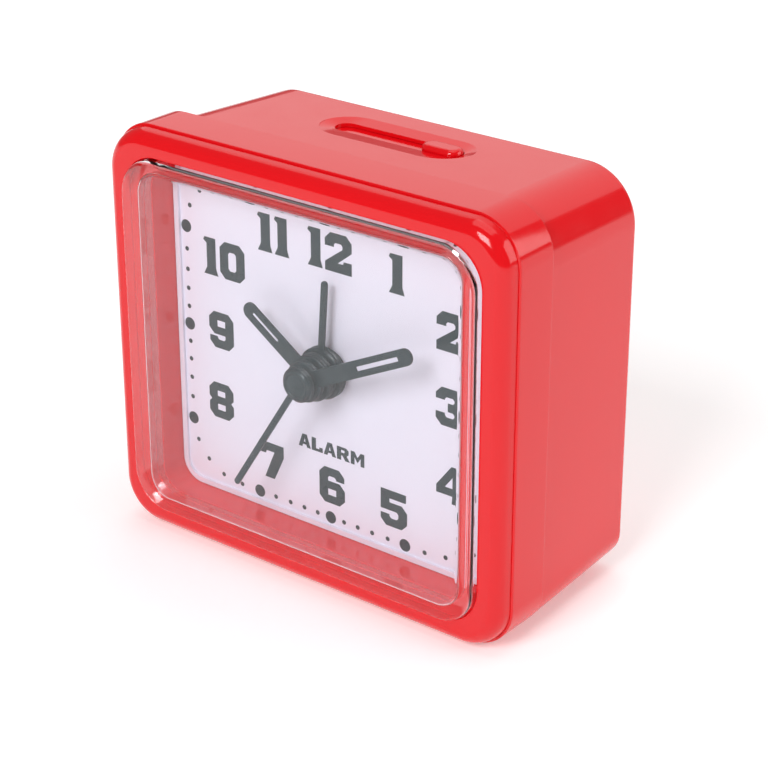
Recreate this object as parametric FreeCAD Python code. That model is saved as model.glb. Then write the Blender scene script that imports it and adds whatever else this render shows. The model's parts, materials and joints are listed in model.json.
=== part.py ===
"""Travel alarm clock: a small red desk clock with a quartz movement and a top slide for the alarm.

Frame: X to the right, Y from the front to the back, Z up, millimetres.
Origin: on the ground, at the middle of the width and of the depth. The dial faces -Y.
"""
import FreeCAD, Part
import math
import os
from FreeCAD import Vector

# ---------------------------------------------------------------- driving dimensions
WIDTH = 66.0                 # across the bezel at its rear edge
HEIGHT = 58.5                # ground to the top of the bezel
BEZEL_DEPTH = 9.5            # bezel front plane to the seam
BODY_DEPTH = 21.0            # seam to the flat back
CRYSTAL_PROUD = 1.0          # crystal face in front of the bezel
KNOB_PROUD = 1.5             # setting knobs behind the flat back

# bezel
BEZEL_BAND = 5.2             # straight band at the seam, which is also the front foot
NOSE_STEP = 0.35             # small step from the band in to the rounded nose
BEZEL_DRAFT = 0.7            # how much the front outline is smaller, each side
BEZEL_ROUND = 3.6            # rounding between the side and the rim
BEZEL_CORNER = 6.6
BEZEL_WALL = 2.1

# case body
CASE_STEP = 0.75             # case is this much smaller than the bezel, each side
CASE_DRAFT = 0.8             # case narrows this much towards the back, each side
CASE_CORNER_TOP = 7.5
CASE_CORNER_BOTTOM = 4.2
CASE_WALL = 2.0
CASE_BACK_ROUND = 1.0
LIP_DEPTH = 1.4              # tongue of the case that enters the bezel
LIP_WALL = 1.2
LIP_ROOT = 1.0
SNAP_HEIGHT = 0.35
SNAP_LENGTH = 12.0
SNAP_WIDTH = 0.6
FOOT_SIZE = (8.0, 4.0)       # moulded rear feet, X and Y
FOOT_X = 22.0
FOOT_BACK = 4.0              # gap from the flat back to the feet

# crystal and dial
CRYSTAL_INSET = (3.9, 3.65)  # crystal edge inside the bezel outline, X and Z
CRYSTAL_CORNER = 5.6
CRYSTAL_PLATE = 1.2
CRYSTAL_SKIRT = 2.8
CRYSTAL_EDGE = 0.7
WINDOW_INSET = (6.4, 5.35)   # window edge inside the bezel outline
WINDOW_CORNER = 3.4
HAND_ROOM = 0.3              # between the cap of the second hand and the crystal
DIAL_THICK = 0.5
DIAL_RIM = (0.8, 0.4)        # width and height of the raised rim around the dial face

# clearances
GAP = 0.1                    # loose moulded fit, each side
RUN = 0.05                   # running fit, radial
LIFT = 0.3                   # axial gap between stacked wheels and hands

# centre stack radii, from the inside out
SECOND_R = 0.40
TUBE_WALL = 0.40
BUSHING_WALL = 1.1

# hands: angle clockwise from twelve, blade length and width, hub radius, gap under the hub,
# hub height, and how far the blade lies below the top of the hub
HAND_THICK = 0.35
ALARM_HAND = {"angle": 4.0, "length": 13.2, "width": 1.0, "hub": 3.6, "foot": 0.6, "stack": 1.4,
              "drop": 0.05}
HOUR_HAND = {"angle": -56.0, "length": 13.4, "width": 2.4, "hub": 3.2, "foot": 2.3, "stack": 1.6,
             "drop": 0.05}
MINUTE_HAND = {"angle": 64.0, "length": 19.6, "width": 2.3, "hub": 2.8, "foot": 4.2, "stack": 1.2,
               "drop": 0.05}
SECOND_HAND = {"angle": -147.5, "length": 21.0, "width": 0.9, "hub": 2.4, "foot": 5.7, "stack": 1.2,
               "drop": 0.45}
SLIT_WIDTH = 0.6
SLIT_START = 0.50            # slit in the hour and minute blades, as shares of the blade length
SLIT_END = 0.88
RIB = 0.3                    # depth and height of the grooves around the hand hubs
RIB_START = 0.45             # first groove below the top of a hub
CAP_ROUND = 0.4              # rounded edge of the closed cap
ARBOR_SOCKET = 0.5           # front of the second arbor below the top of its cap

# movement
PLATE_THICK = 1.2
BACK_PLATE_THICK = 1.0
MOVEMENT_DEPTH = 10.2        # between the two plates
PLATE_HALF_X = 27.8
PLATE_BELOW = 8.15           # plate edges below and above the centre
PLATE_ABOVE = 15.5
EAR_WIDTH = 4.6
EAR_ABOVE = 20.8
POST_R = 2.0
POST_AT = (27.0, 18.5)       # case posts for the movement, from the centre
PILLAR_R = 1.7
PILLARS = [(-25.4, -6.0), (-25.4, 13.3), (25.6, -6.2), (10.2, 13.4)]
SCREW_R = 0.8
SCREW_HEAD_R = 1.5
SCREW_HEAD = 0.6
SCREW_LENGTH = 5.0

# wheel work: module and teeth
MOTION_MODULE = 0.30
CANNON_TEETH = 12
MOTION_TEETH = 36
MOTION_PINION_TEETH = 10
HOUR_TEETH = 40
SETTING_TEETH = 12
ALARM_TEETH = 40
GOING_MODULE = 0.25
SECOND_MODULE = 0.30         # second wheel and the fifth pinion
PINION_TEETH = 8
SECOND_TEETH = 40
THIRD_TEETH = 64
CENTRE_TEETH = 60
FIFTH_TEETH = 48
MOTION_ANGLE = 20.0          # bearing of the motion wheel from the centre
SETTING_RISE = 6.0           # both setting arbors are this far above the centre
THIRD_ANGLE = 90.0
FIFTH_ANGLE = 10.0
ROTOR_ANGLE = -15.0          # bearing of the rotor from the fifth wheel
BACKLASH = 0.05
WHEEL_THICK = 0.6
PIVOT_R = 0.35
ARBOR_R = 0.9
ARBOR_PIVOT_R = 0.5

# motor and board
MAGNET_R = 2.4
MAGNET_LENGTH = 1.8
STATOR_THICK = 0.8
STATOR_GAP = 0.4
COIL_R = 2.9
CORE_X = 23.7                # middle of the leg that carries the coil
CORE_HALF = 1.2
COIL_SPAN = (-0.6, 10.2)     # ends of the bobbin above the centre
BOBBIN_R = 1.8               # tube of the bobbin under the wire
BOBBIN_FLANGE = 0.6
POLE_LEFT = 4.2              # edges of the stator pole from the rotor
POLE_RIGHT = 5.2
POLE_HALF = 4.2
STATOR_BAR = 2.6             # width of the stator legs and bars
LOW_BAR = (-2.8, -0.8)       # lower stator bar, from the rotor
LEG_ROOM = 0.6               # between the time setting arbor and the stator leg
BOARD = (-23.6, 8.0, -7.0, 15.0)   # left, right, below, above the centre
BOARD_THICK = 1.0
BOARD_STUD = 0.6
BOARD_SCREWS = [(-21.8, -5.2), (6.2, 11.4)]
BOARD_EYE_R = 2.0            # hole around the end of the second arbor
CHIP_AT = (-15.5, -1.5)
CHIP_R = 3.8                 # ball that the resin drop is the top of
CHIP_SUNK = 2.0
CAN_R = 1.05
CAN_LENGTH = 6.0
CAN_AT = (-4.5, -4.5)
CAPACITOR_R = 2.0
CAPACITOR_HEIGHT = 4.2
CAPACITOR_AT = (-19.0, 10.5)

# back of the case
KNOB_R = 5.0
KNOB_FLUTES = 24
KNOB_ROUND = 0.4
FLUTE_R = 0.4
KNOB_SEAT = 0.8              # knobs sit in round recesses this deep
PIEZO_R = 6.8
PIEZO_ABOVE = 15.75
PIEZO_THICK = 0.4
PIEZO_SEAT = 1.0
SOUND_SLOTS = 5
SOUND_PITCH = 2.1
SOUND_SLOT = 1.0             # width of one slot

# battery
CELL_R = 7.1
CELL_LENGTH = 49.2
CELL_CAP = (2.7, 1.1)        # radius and length of the raised contact
CELL_ROUND = 0.5
CELL_ROOM = (0.4, 0.9)       # free space in front of and above the cell
DOOR_ROOM = 1.0              # between the cell and the inside of the back
CONTACT_THICK = 0.5
CONTACT_HALF = 5.0
SPRING_ROOM = 4.4            # length of the spring and its plate
SPRING_R = 3.2
BAY_WALL = 1.1
DOOR_THICK = 1.5
DOOR_LAND = 0.9
GRIP_RIBS = 5                # grooves for a finger on the door
GRIP_PITCH = 1.3
GRIP_HALF = 5.0
GRIP_DEPTH = 0.4
SPRING_WIRE = 0.35
SPRING_TURNS = 3.5

# alarm slide on top
SLIDE_BACK = 12.0            # centre of the slide behind the seam
DISH_LENGTH = 24.0
DISH_WIDTH = 10.0
DISH_DEPTH = 0.45
SLOT_LENGTH = 20.6
SLOT_WIDTH = 3.3
SLOT_LIP = 0.5
NUB_LENGTH = 6.0
NUB_PROUD = 0.3
NUB_ROUND = 0.7
FLANGE_COVER = 0.6           # flange past the end of the slot at either end of its travel
FLANGE_THICK = 1.1
FLANGE_HALF_Y = 3.3
GUIDE_WALL = 0.8

# ---------------------------------------------------------------- places that follow
AXIS_Z = HEIGHT / 2
DEPTH = CRYSTAL_PROUD + BEZEL_DEPTH + BODY_DEPTH + KNOB_PROUD
CRYSTAL_Y = -DEPTH / 2
FRONT_Y = CRYSTAL_Y + CRYSTAL_PROUD
SEAM_Y = FRONT_Y + BEZEL_DEPTH
BACK_Y = SEAM_Y + BODY_DEPTH
LEDGE_Y = CRYSTAL_Y + CRYSTAL_PLATE + CRYSTAL_SKIRT
CAP_TOP = SECOND_HAND["foot"] + SECOND_HAND["stack"]
DIAL_Y = CRYSTAL_Y + CRYSTAL_PLATE + HAND_ROOM + CAP_TOP
DIAL_BACK_Y = DIAL_Y + DIAL_THICK
PLATE_Y = DIAL_BACK_Y + PLATE_THICK
BACK_PLATE_Y = PLATE_Y + MOVEMENT_DEPTH
INNER_BACK_Y = BACK_Y - CASE_WALL

HALF_W = WIDTH / 2
HALF_H = HEIGHT / 2
CRYSTAL_HALF = (HALF_W - CRYSTAL_INSET[0], HALF_H - CRYSTAL_INSET[1])
WINDOW_HALF = (HALF_W - WINDOW_INSET[0], HALF_H - WINDOW_INSET[1])
POCKET = (HALF_W - BEZEL_WALL, HALF_H - BEZEL_WALL)
LIP = (POCKET[0] - GAP, POCKET[1] - GAP)
CASE_FRONT = (HALF_W - CASE_STEP, HALF_H - CASE_STEP)
CASE_REAR = (CASE_FRONT[0] - CASE_DRAFT, CASE_FRONT[1] - CASE_DRAFT)

# coaxial stack on the centre: second arbor, minute tube, hour tube, alarm tube, bushing
MINUTE_BORE = SECOND_R + RUN
MINUTE_R = MINUTE_BORE + TUBE_WALL
HOUR_BORE = MINUTE_R + RUN
HOUR_R = HOUR_BORE + TUBE_WALL
ALARM_BORE = HOUR_R + RUN
ALARM_R = ALARM_BORE + TUBE_WALL
BUSHING_BORE = ALARM_R + RUN
BUSHING_R = BUSHING_BORE + BUSHING_WALL

# levels of the wheels behind the movement front plate, front face of each
ALARM_LEVEL = PLATE_Y + LIFT
HOUR_LEVEL = ALARM_LEVEL + WHEEL_THICK + LIFT
MOTION_LEVEL = HOUR_LEVEL + WHEEL_THICK + LIFT
CENTRE_LEVEL = MOTION_LEVEL + WHEEL_THICK + 2 * LIFT
THIRD_LEVEL = CENTRE_LEVEL + WHEEL_THICK + 2 * LIFT
SECOND_LEVEL = THIRD_LEVEL + WHEEL_THICK + LIFT
FIFTH_LEVEL = SECOND_LEVEL + WHEEL_THICK + LIFT
MAGNET_LEVEL = FIFTH_LEVEL + WHEEL_THICK + LIFT


def polar(distance, bearing, start=(0.0, 0.0)):
    """A point at a distance and a bearing, in degrees from +X towards +Z."""
    turn = math.radians(bearing)
    return (start[0] + distance * math.cos(turn), start[1] + distance * math.sin(turn))


# centres of the arbors, as (x, height above the centre)
CENTRE = (0.0, 0.0)
MOTION_DISTANCE = MOTION_MODULE * (CANNON_TEETH + MOTION_TEETH) / 2
HOUR_MODULE = 2 * MOTION_DISTANCE / (MOTION_PINION_TEETH + HOUR_TEETH)
MOTION_AT = polar(MOTION_DISTANCE, MOTION_ANGLE)
SETTING_DISTANCE = MOTION_MODULE * (MOTION_TEETH + SETTING_TEETH) / 2
SETTING_ANGLE = math.degrees(math.asin((SETTING_RISE - MOTION_AT[1]) / SETTING_DISTANCE))
TIME_SET_AT = polar(SETTING_DISTANCE, SETTING_ANGLE, MOTION_AT)
ALARM_SET_DISTANCE = MOTION_MODULE * ALARM_TEETH
ALARM_SET_ANGLE = 180.0 - math.degrees(math.asin(SETTING_RISE / ALARM_SET_DISTANCE))
ALARM_SET_AT = polar(ALARM_SET_DISTANCE, ALARM_SET_ANGLE)
THIRD_DISTANCE = GOING_MODULE * (PINION_TEETH + THIRD_TEETH) / 2
CENTRE_MODULE = 2 * THIRD_DISTANCE / (PINION_TEETH + CENTRE_TEETH)
THIRD_AT = polar(THIRD_DISTANCE, THIRD_ANGLE)
FIFTH_AT = polar(SECOND_MODULE * (PINION_TEETH + SECOND_TEETH) / 2, FIFTH_ANGLE)
ROTOR_AT = polar(GOING_MODULE * (PINION_TEETH + FIFTH_TEETH) / 2, ROTOR_ANGLE, FIFTH_AT)

# battery bay and its door
BAY_HALF_X = (CELL_LENGTH + CELL_CAP[1] + CONTACT_THICK + SPRING_ROOM) / 2
BAY_HEIGHT = 2 * (CELL_R + CELL_ROOM[1])
BAY_Z = HALF_H - CASE_REAR[1] + CASE_WALL
BAY_TOP = BAY_Z + BAY_HEIGHT
BAY_Y = INNER_BACK_Y - DOOR_ROOM - 2 * CELL_R - CELL_ROOM[0]
CELL_Y = BAY_Y + CELL_R + CELL_ROOM[0]
CELL_Z = BAY_Z + BAY_HEIGHT / 2

# alarm slide
SLIDE_Y = SEAM_Y + SLIDE_BACK
TOP_Z = AXIS_Z + CASE_FRONT[1] - CASE_DRAFT * SLIDE_BACK / BODY_DEPTH
SLOT_UNDER_Z = TOP_Z - DISH_DEPTH - SLOT_LIP
FLANGE_TOP_Z = SLOT_UNDER_Z - RUN
FLANGE_Z = FLANGE_TOP_Z - FLANGE_THICK
SLIDE_TRAVEL = SLOT_LENGTH - NUB_LENGTH - 2 * GAP
NUB_X = SLIDE_TRAVEL / 2
FLANGE_HALF_X = SLOT_LENGTH / 2 + SLIDE_TRAVEL / 2 + FLANGE_COVER


# ---------------------------------------------------------------- shape helpers
def outline(half_x, half_z, top_r, bottom_r, y, centre_z=AXIS_Z):
    """A rounded rectangle in an X-Z plane, as a wire."""
    corners = [(half_x, -half_z, bottom_r, -90), (half_x, half_z, top_r, 0),
               (-half_x, half_z, top_r, 90), (-half_x, -half_z, bottom_r, 180)]
    arcs = []
    for x, z, radius, start in corners:
        mid = (x - math.copysign(radius, x), centre_z + z - math.copysign(radius, z))
        points = [polar(radius, start + step, mid) for step in (0, 45, 90)]
        arcs.append([Vector(px, y, pz) for px, pz in points])
    edges = []
    for index, arc in enumerate(arcs):
        following = arcs[(index + 1) % len(arcs)]
        edges.append(Part.Arc(*arc).toShape())
        edges.append(Part.makeLine(arc[2], following[0]))
    return Part.Wire(edges)


def block(half, radius, y0, y1, bottom_radius=None):
    """A straight prism with a rounded rectangular outline, centred on the dial."""
    low = radius if bottom_radius is None else bottom_radius
    face = Part.Face(outline(half[0], half[1], radius, low, y0))
    return face.extrude(Vector(0, y1 - y0, 0))


def box(x0, x1, y0, y1, z0, z1):
    return Part.makeBox(x1 - x0, y1 - y0, z1 - z0, Vector(x0, y0, z0))


def rod(radius, y0, y1, at=CENTRE):
    """A cylinder along Y; at is its place from the dial centre."""
    return Part.makeCylinder(radius, y1 - y0, Vector(at[0], y0, AXIS_Z + at[1]), Vector(0, 1, 0))


def tube(radius, bore, y0, y1, at=CENTRE):
    return rod(radius, y0, y1, at).cut(rod(bore, y0, y1, at))


def slot_prism(length, width, z0, z1, x=0.0, y=None):
    """A vertical prism with round ends, long along X."""
    middle = SLIDE_Y if y is None else y
    radius = width / 2
    reach = length / 2 - radius
    body = box(x - reach, x + reach, middle - radius, middle + radius, z0, z1)
    for side in (-1, 1):
        end = Part.makeCylinder(radius, z1 - z0, Vector(x + side * reach, middle, z0))
        body = body.fuse(end)
    return body.removeSplitter()


def joined(*shapes):
    """Fuse shapes into one solid with no leftover seams."""
    return shapes[0].multiFuse(list(shapes[1:])).removeSplitter()


def turned_about_centre(shape, angle):
    """Turn a shape clockwise, as seen on the dial, about the centre."""
    shape.rotate(Vector(0, 0, AXIS_Z), Vector(0, 1, 0), angle)
    return shape


# ---------------------------------------------------------------- gears
def involute(cosine):
    angle = math.acos(min(1.0, cosine))
    return math.tan(angle) - angle


def gear(module, teeth, y0, y1, at, phase, addendum=1.0):
    """A spur gear; phase is the bearing of a tooth, in radians."""
    pitch = module * teeth / 2
    base = pitch * math.cos(math.radians(20))
    tip = pitch + addendum * module
    root = pitch - 1.25 * module
    half_tooth = math.pi / (2 * teeth) - BACKLASH / (2 * pitch)
    radii = [root, max(root, base), pitch, (pitch + tip) / 2, tip]
    flank = [(r, half_tooth + involute(base / pitch) - involute(base / max(r, base))) for r in radii]
    points = []
    for tooth in range(teeth):
        middle = phase + 2 * math.pi * tooth / teeth
        rising = [(r, middle - half) for r, half in flank]
        falling = [(r, middle + half) for r, half in reversed(flank)]
        for r, angle in rising + falling:
            point = Vector(at[0] + r * math.cos(angle), y0, AXIS_Z + at[1] + r * math.sin(angle))
            if not points or point.distanceToPoint(points[-1]) > 1e-4:
                points.append(point)
    points.append(points[0])
    return Part.Face(Part.makePolygon(points)).extrude(Vector(0, y1 - y0, 0))


def meshing_phase(phase, teeth, at, other_teeth, other_at):
    """The phase that puts the other gear in mesh with this one."""
    bearing = math.atan2(other_at[1] - at[1], other_at[0] - at[0])
    part = (bearing - phase) * teeth / (2 * math.pi)
    return bearing + math.pi - (0.5 - part) * 2 * math.pi / other_teeth


# ---------------------------------------------------------------- case pieces
def front_bezel():
    band = block((HALF_W, HALF_H), BEZEL_CORNER, SEAM_Y - BEZEL_BAND, SEAM_Y)
    wires = []
    for inset, y in ((NOSE_STEP, SEAM_Y - BEZEL_BAND), (BEZEL_DRAFT, FRONT_Y)):
        corner = BEZEL_CORNER - inset
        wires.append(outline(HALF_W - inset, HALF_H - inset, corner, corner, y))
    nose = Part.makeLoft(wires, True, True)
    front_edges = [e for e in nose.Edges if e.BoundBox.YMax < FRONT_Y + 0.01]
    nose = nose.makeFillet(BEZEL_ROUND, front_edges)
    shell = joined(band, nose)
    rebate = block((CRYSTAL_HALF[0] + GAP, CRYSTAL_HALF[1] + GAP), CRYSTAL_CORNER, FRONT_Y, LEDGE_Y)
    window = block(WINDOW_HALF, WINDOW_CORNER, FRONT_Y, SEAM_Y)
    pocket = block(POCKET, BEZEL_CORNER - BEZEL_WALL, DIAL_Y, SEAM_Y)
    return shell.cut(rebate).cut(window).cut(pocket).cut(snaps(GAP / 2))


def snaps(room=0.0):
    """Four snap ridges around the case lip; room widens them into the bezel's grooves."""
    ridges = []
    middle = SEAM_Y - LIP_DEPTH / 2
    half = SNAP_WIDTH / 2 + room
    reach = SNAP_LENGTH / 2 + room
    for side in (-1, 1):
        face = LIP[0]
        outer = face + SNAP_HEIGHT + room
        x0, x1 = sorted((side * (face - LIP_WALL / 2), side * outer))
        ridges.append(box(x0, x1, middle - half, middle + half, AXIS_Z - reach, AXIS_Z + reach))
        face = LIP[1]
        outer = face + SNAP_HEIGHT + room
        z0, z1 = sorted((side * (face - LIP_WALL / 2), side * outer))
        ridges.append(box(-reach, reach, middle - half, middle + half, AXIS_Z + z0, AXIS_Z + z1))
    return Part.makeCompound(ridges)


def crystal():
    body = block(CRYSTAL_HALF, CRYSTAL_CORNER, CRYSTAL_Y, LEDGE_Y)
    front_edges = [e for e in body.Edges if e.BoundBox.YMax < CRYSTAL_Y + 0.01]
    body = body.makeFillet(CRYSTAL_EDGE, front_edges)
    hollow = block(WINDOW_HALF, WINDOW_CORNER, CRYSTAL_Y + CRYSTAL_PLATE, LEDGE_Y)
    return body.cut(hollow)


def dial():
    plate = block(LIP, BEZEL_CORNER - BEZEL_WALL - GAP, DIAL_Y, DIAL_BACK_Y)
    width, height = DIAL_RIM
    outer = (WINDOW_HALF[0] - GAP, WINDOW_HALF[1] - GAP)
    inner = (outer[0] - width, outer[1] - width)
    rim = block(outer, WINDOW_CORNER - GAP, DIAL_Y - height, DIAL_Y)
    rim = rim.cut(block(inner, WINDOW_CORNER - GAP - width, DIAL_Y - height, DIAL_Y))
    return joined(plate, rim).cut(rod(BUSHING_R + RUN, DIAL_Y, DIAL_BACK_Y))


def case_loft(inset, y0, y1):
    """The tapered inside or outside of the case between two depths."""
    wires = []
    for y in (y0, y1):
        shrink = inset + CASE_DRAFT * (y - SEAM_Y) / BODY_DEPTH
        wires.append(outline(CASE_FRONT[0] - shrink, CASE_FRONT[1] - shrink,
                             CASE_CORNER_TOP - inset, CASE_CORNER_BOTTOM - inset, y))
    return Part.makeLoft(wires, True, True)


def rear_case():
    outside = case_loft(0.0, SEAM_Y, BACK_Y)
    back_edges = [e for e in outside.Edges if e.BoundBox.YMin > BACK_Y - 0.01]
    outside = outside.makeFillet(CASE_BACK_ROUND, back_edges)
    shell = outside.cut(case_loft(CASE_WALL, SEAM_Y, INNER_BACK_Y))
    lip_corner = BEZEL_CORNER - BEZEL_WALL - GAP
    inner = (LIP[0] - LIP_WALL, LIP[1] - LIP_WALL)
    lip = block(LIP, lip_corner, DIAL_BACK_Y, SEAM_Y + LIP_ROOT)
    lip = lip.cut(block(inner, lip_corner - LIP_WALL, DIAL_BACK_Y, SEAM_Y + LIP_ROOT))
    bay = box(-BAY_HALF_X - BAY_WALL, BAY_HALF_X + BAY_WALL, BAY_Y - BAY_WALL, INNER_BACK_Y,
              BAY_Z - CASE_WALL / 2, BAY_TOP + BAY_WALL)
    bay = bay.common(case_loft(CASE_WALL / 2, SEAM_Y, BACK_Y))
    additions = [lip, bay] + snaps().Solids
    for x in (-FOOT_X, FOOT_X):
        y1 = BACK_Y - FOOT_BACK
        additions.append(box(x - FOOT_SIZE[0] / 2, x + FOOT_SIZE[0] / 2, y1 - FOOT_SIZE[1], y1,
                             0.0, BAY_Z - CASE_WALL / 2))
    for side in (-1, 1):
        additions.append(rod(POST_R, PLATE_Y, INNER_BACK_Y, (side * POST_AT[0], POST_AT[1])))
    piezo_at = (0.0, PIEZO_ABOVE)
    additions.append(tube(PIEZO_R, PIEZO_R - 1.0, INNER_BACK_Y - PIEZO_SEAT, INNER_BACK_Y, piezo_at))
    shell = joined(shell, *additions)

    cuts = [box(-BAY_HALF_X, BAY_HALF_X, BAY_Y, BACK_Y, BAY_Z, BAY_TOP)]
    cuts.append(box(-BAY_HALF_X - DOOR_LAND - GAP, BAY_HALF_X + DOOR_LAND + GAP, BACK_Y - DOOR_THICK,
                    BACK_Y, BAY_Z - DOOR_LAND - GAP, BAY_TOP + DOOR_LAND + GAP))
    for at in (TIME_SET_AT, ALARM_SET_AT):
        cuts.append(rod(ARBOR_R + RUN, INNER_BACK_Y, BACK_Y, at))
        cuts.append(rod(KNOB_R + 5 * GAP, BACK_Y - KNOB_SEAT - GAP, BACK_Y, at))
    for side in (-1, 1):
        at = (side * POST_AT[0], POST_AT[1])
        cuts.append(rod(SCREW_R, PLATE_Y, PLATE_Y + SCREW_LENGTH, at))
    for index in range(SOUND_SLOTS):
        x = (index - (SOUND_SLOTS - 1) / 2) * SOUND_PITCH
        reach = math.sqrt((PIEZO_R - 2.0) ** 2 - x * x)
        cuts.append(box(x - SOUND_SLOT / 2, x + SOUND_SLOT / 2, INNER_BACK_Y, BACK_Y,
                        AXIS_Z + PIEZO_ABOVE - reach, AXIS_Z + PIEZO_ABOVE + reach))
    cuts.append(slide_dish())
    cuts.append(slot_prism(SLOT_LENGTH, SLOT_WIDTH, SLOT_UNDER_Z - CASE_WALL, TOP_Z))
    reach = FLANGE_HALF_X + SLIDE_TRAVEL / 2 + 2 * GAP
    cuts.append(box(-reach, reach, SLIDE_Y - FLANGE_HALF_Y - GAP, SLIDE_Y + FLANGE_HALF_Y + GAP,
                    SLOT_UNDER_Z - 2 * CASE_WALL, SLOT_UNDER_Z))
    return shell.cut(Part.makeCompound(cuts))


def slide_dish():
    """The shallow sloping recess around the slot."""
    wires = []
    for length, width, z in ((DISH_LENGTH, DISH_WIDTH, TOP_Z), (SLOT_LENGTH, SLOT_WIDTH, TOP_Z - DISH_DEPTH)):
        top = [f for f in slot_prism(length, width, z - 1.0, z).Faces if f.BoundBox.ZMin > z - 0.01]
        wires.append(top[0].OuterWire)
    dish = Part.makeLoft(wires, True, True)
    return dish.fuse(slot_prism(DISH_LENGTH, DISH_WIDTH, TOP_Z, TOP_Z + 1.0))


def battery_door():
    half = BAY_HALF_X + DOOR_LAND
    low, high = BAY_Z - DOOR_LAND, BAY_TOP + DOOR_LAND
    door = box(-half, half, BACK_Y - DOOR_THICK, BACK_Y, low, high)
    ribs = []
    for index in range(GRIP_RIBS):
        z = high - 3.0 - index * GRIP_PITCH
        ribs.append(box(-GRIP_HALF, GRIP_HALF, BACK_Y - GRIP_DEPTH, BACK_Y, z - 0.3, z + 0.3))
    return door.cut(Part.makeCompound(ribs))


def battery():
    length, (cap_r, cap_length) = CELL_LENGTH, CELL_CAP
    right = BAY_HALF_X - CONTACT_THICK - cap_length
    along = Vector(1, 0, 0)
    cell = Part.makeCylinder(CELL_R, length, Vector(right - length, CELL_Y, CELL_Z), along)
    rims = [e for e in cell.Edges if e.Closed]
    cell = cell.makeFillet(CELL_ROUND, rims)
    return joined(cell, Part.makeCylinder(cap_r, cap_length, Vector(right, CELL_Y, CELL_Z), along))


def contact(x0):
    """A square contact plate across the bay."""
    return box(x0, x0 + CONTACT_THICK, CELL_Y - CONTACT_HALF, CELL_Y + CONTACT_HALF,
               CELL_Z - CONTACT_HALF, CELL_Z + CONTACT_HALF)


def battery_plate():
    return contact(BAY_HALF_X - CONTACT_THICK)


def battery_spring():
    """A coil spring that fills the bay between its wall plate and the cell."""
    run = SPRING_ROOM - CONTACT_THICK - 2 * SPRING_WIRE
    helix = Part.makeHelix(run / SPRING_TURNS, run, SPRING_R)
    section = Part.Wire(Part.makeCircle(SPRING_WIRE, Vector(SPRING_R, 0, 0), Vector(0, 1, 0)))
    coil = Part.Wire(helix.Edges).makePipeShell([section], True, True)
    coil.rotate(Vector(0, 0, 0), Vector(0, 1, 0), 90)
    coil.translate(Vector(-BAY_HALF_X + CONTACT_THICK + 0.9 * SPRING_WIRE, CELL_Y, CELL_Z))
    return joined(contact(-BAY_HALF_X), coil)


def alarm_slider():
    flange = box(NUB_X - FLANGE_HALF_X, NUB_X + FLANGE_HALF_X, SLIDE_Y - FLANGE_HALF_Y,
                 SLIDE_Y + FLANGE_HALF_Y, FLANGE_Z, FLANGE_TOP_Z)
    nub = slot_prism(NUB_LENGTH, SLOT_WIDTH - 3 * GAP, FLANGE_TOP_Z - 0.2, TOP_Z + NUB_PROUD, NUB_X)
    rim = [e for e in nub.Edges if e.BoundBox.ZMin > TOP_Z + NUB_PROUD - 0.01]
    nub = nub.makeFillet(NUB_ROUND, rim)
    return joined(flange, nub)


def slider_guide(case):
    """A channel under the slider, which closes against the inside of the case top."""
    half_x = FLANGE_HALF_X + SLIDE_TRAVEL / 2 - 1.5
    outer_y = FLANGE_HALF_Y + GAP + GUIDE_WALL
    low = FLANGE_Z - RUN - GUIDE_WALL
    channel = box(-half_x, half_x, SLIDE_Y - outer_y, SLIDE_Y + outer_y, low, TOP_Z - CASE_WALL / 2)
    inner_y = FLANGE_HALF_Y + GAP
    channel = channel.cut(box(-half_x, half_x, SLIDE_Y - inner_y, SLIDE_Y + inner_y,
                              low + GUIDE_WALL, TOP_Z))
    channel = channel.cut(case)
    return max(channel.Solids, key=lambda solid: solid.Volume)


# ---------------------------------------------------------------- hands
def blade(hand, slit):
    """A flat hand pointing at twelve, with a round tip and a narrow slit."""
    y0 = hand_top(hand) + hand["drop"]
    y1 = y0 + HAND_THICK
    radius = hand["width"] / 2
    reach = hand["length"] - radius
    body = box(-radius, radius, y0, y1, AXIS_Z, AXIS_Z + reach)
    body = joined(body, rod(radius, y0, y1, (0.0, reach)))
    if slit:
        body = body.cut(box(-SLIT_WIDTH / 2, SLIT_WIDTH / 2, y0, y1,
                            AXIS_Z + SLIT_START * hand["length"], AXIS_Z + SLIT_END * hand["length"]))
    return body


def hub(hand, bore):
    """A ribbed hub; a bore of zero leaves it closed, as a cap is."""
    y1 = DIAL_Y - hand["foot"]
    y0 = y1 - hand["stack"]
    body = rod(hand["hub"], y0, y1)
    if not bore:
        rim = [e for e in body.Edges if e.Closed and e.BoundBox.YMax < y0 + 0.01]
        body = body.makeFillet(CAP_ROUND, rim)
    for index in range(int((hand["stack"] - RIB_START) / (2 * RIB))):
        groove = y0 + RIB_START + 2 * RIB * index
        body = body.cut(tube(hand["hub"], hand["hub"] - RIB, groove, groove + RIB))
    return body.cut(rod(bore, y0, y1)) if bore else body


def make_hand(hand, bore, slit=False):
    flat = blade(hand, slit)
    if bore:
        flat = flat.cut(rod(bore, hand_top(hand), DIAL_Y))
    return turned_about_centre(joined(hub(hand, bore), flat), hand["angle"])


def hand_top(hand):
    return DIAL_Y - hand["foot"] - hand["stack"]


# ---------------------------------------------------------------- wheel work
def alarm_wheel():
    wheel = gear(MOTION_MODULE, ALARM_TEETH, ALARM_LEVEL, ALARM_LEVEL + WHEEL_THICK, CENTRE, 0.0)
    pipe = rod(ALARM_R, hand_top(ALARM_HAND), ALARM_LEVEL + WHEEL_THICK)
    bore = rod(ALARM_BORE, hand_top(ALARM_HAND), ALARM_LEVEL + WHEEL_THICK)
    return joined(wheel, pipe).cut(bore)


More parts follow.
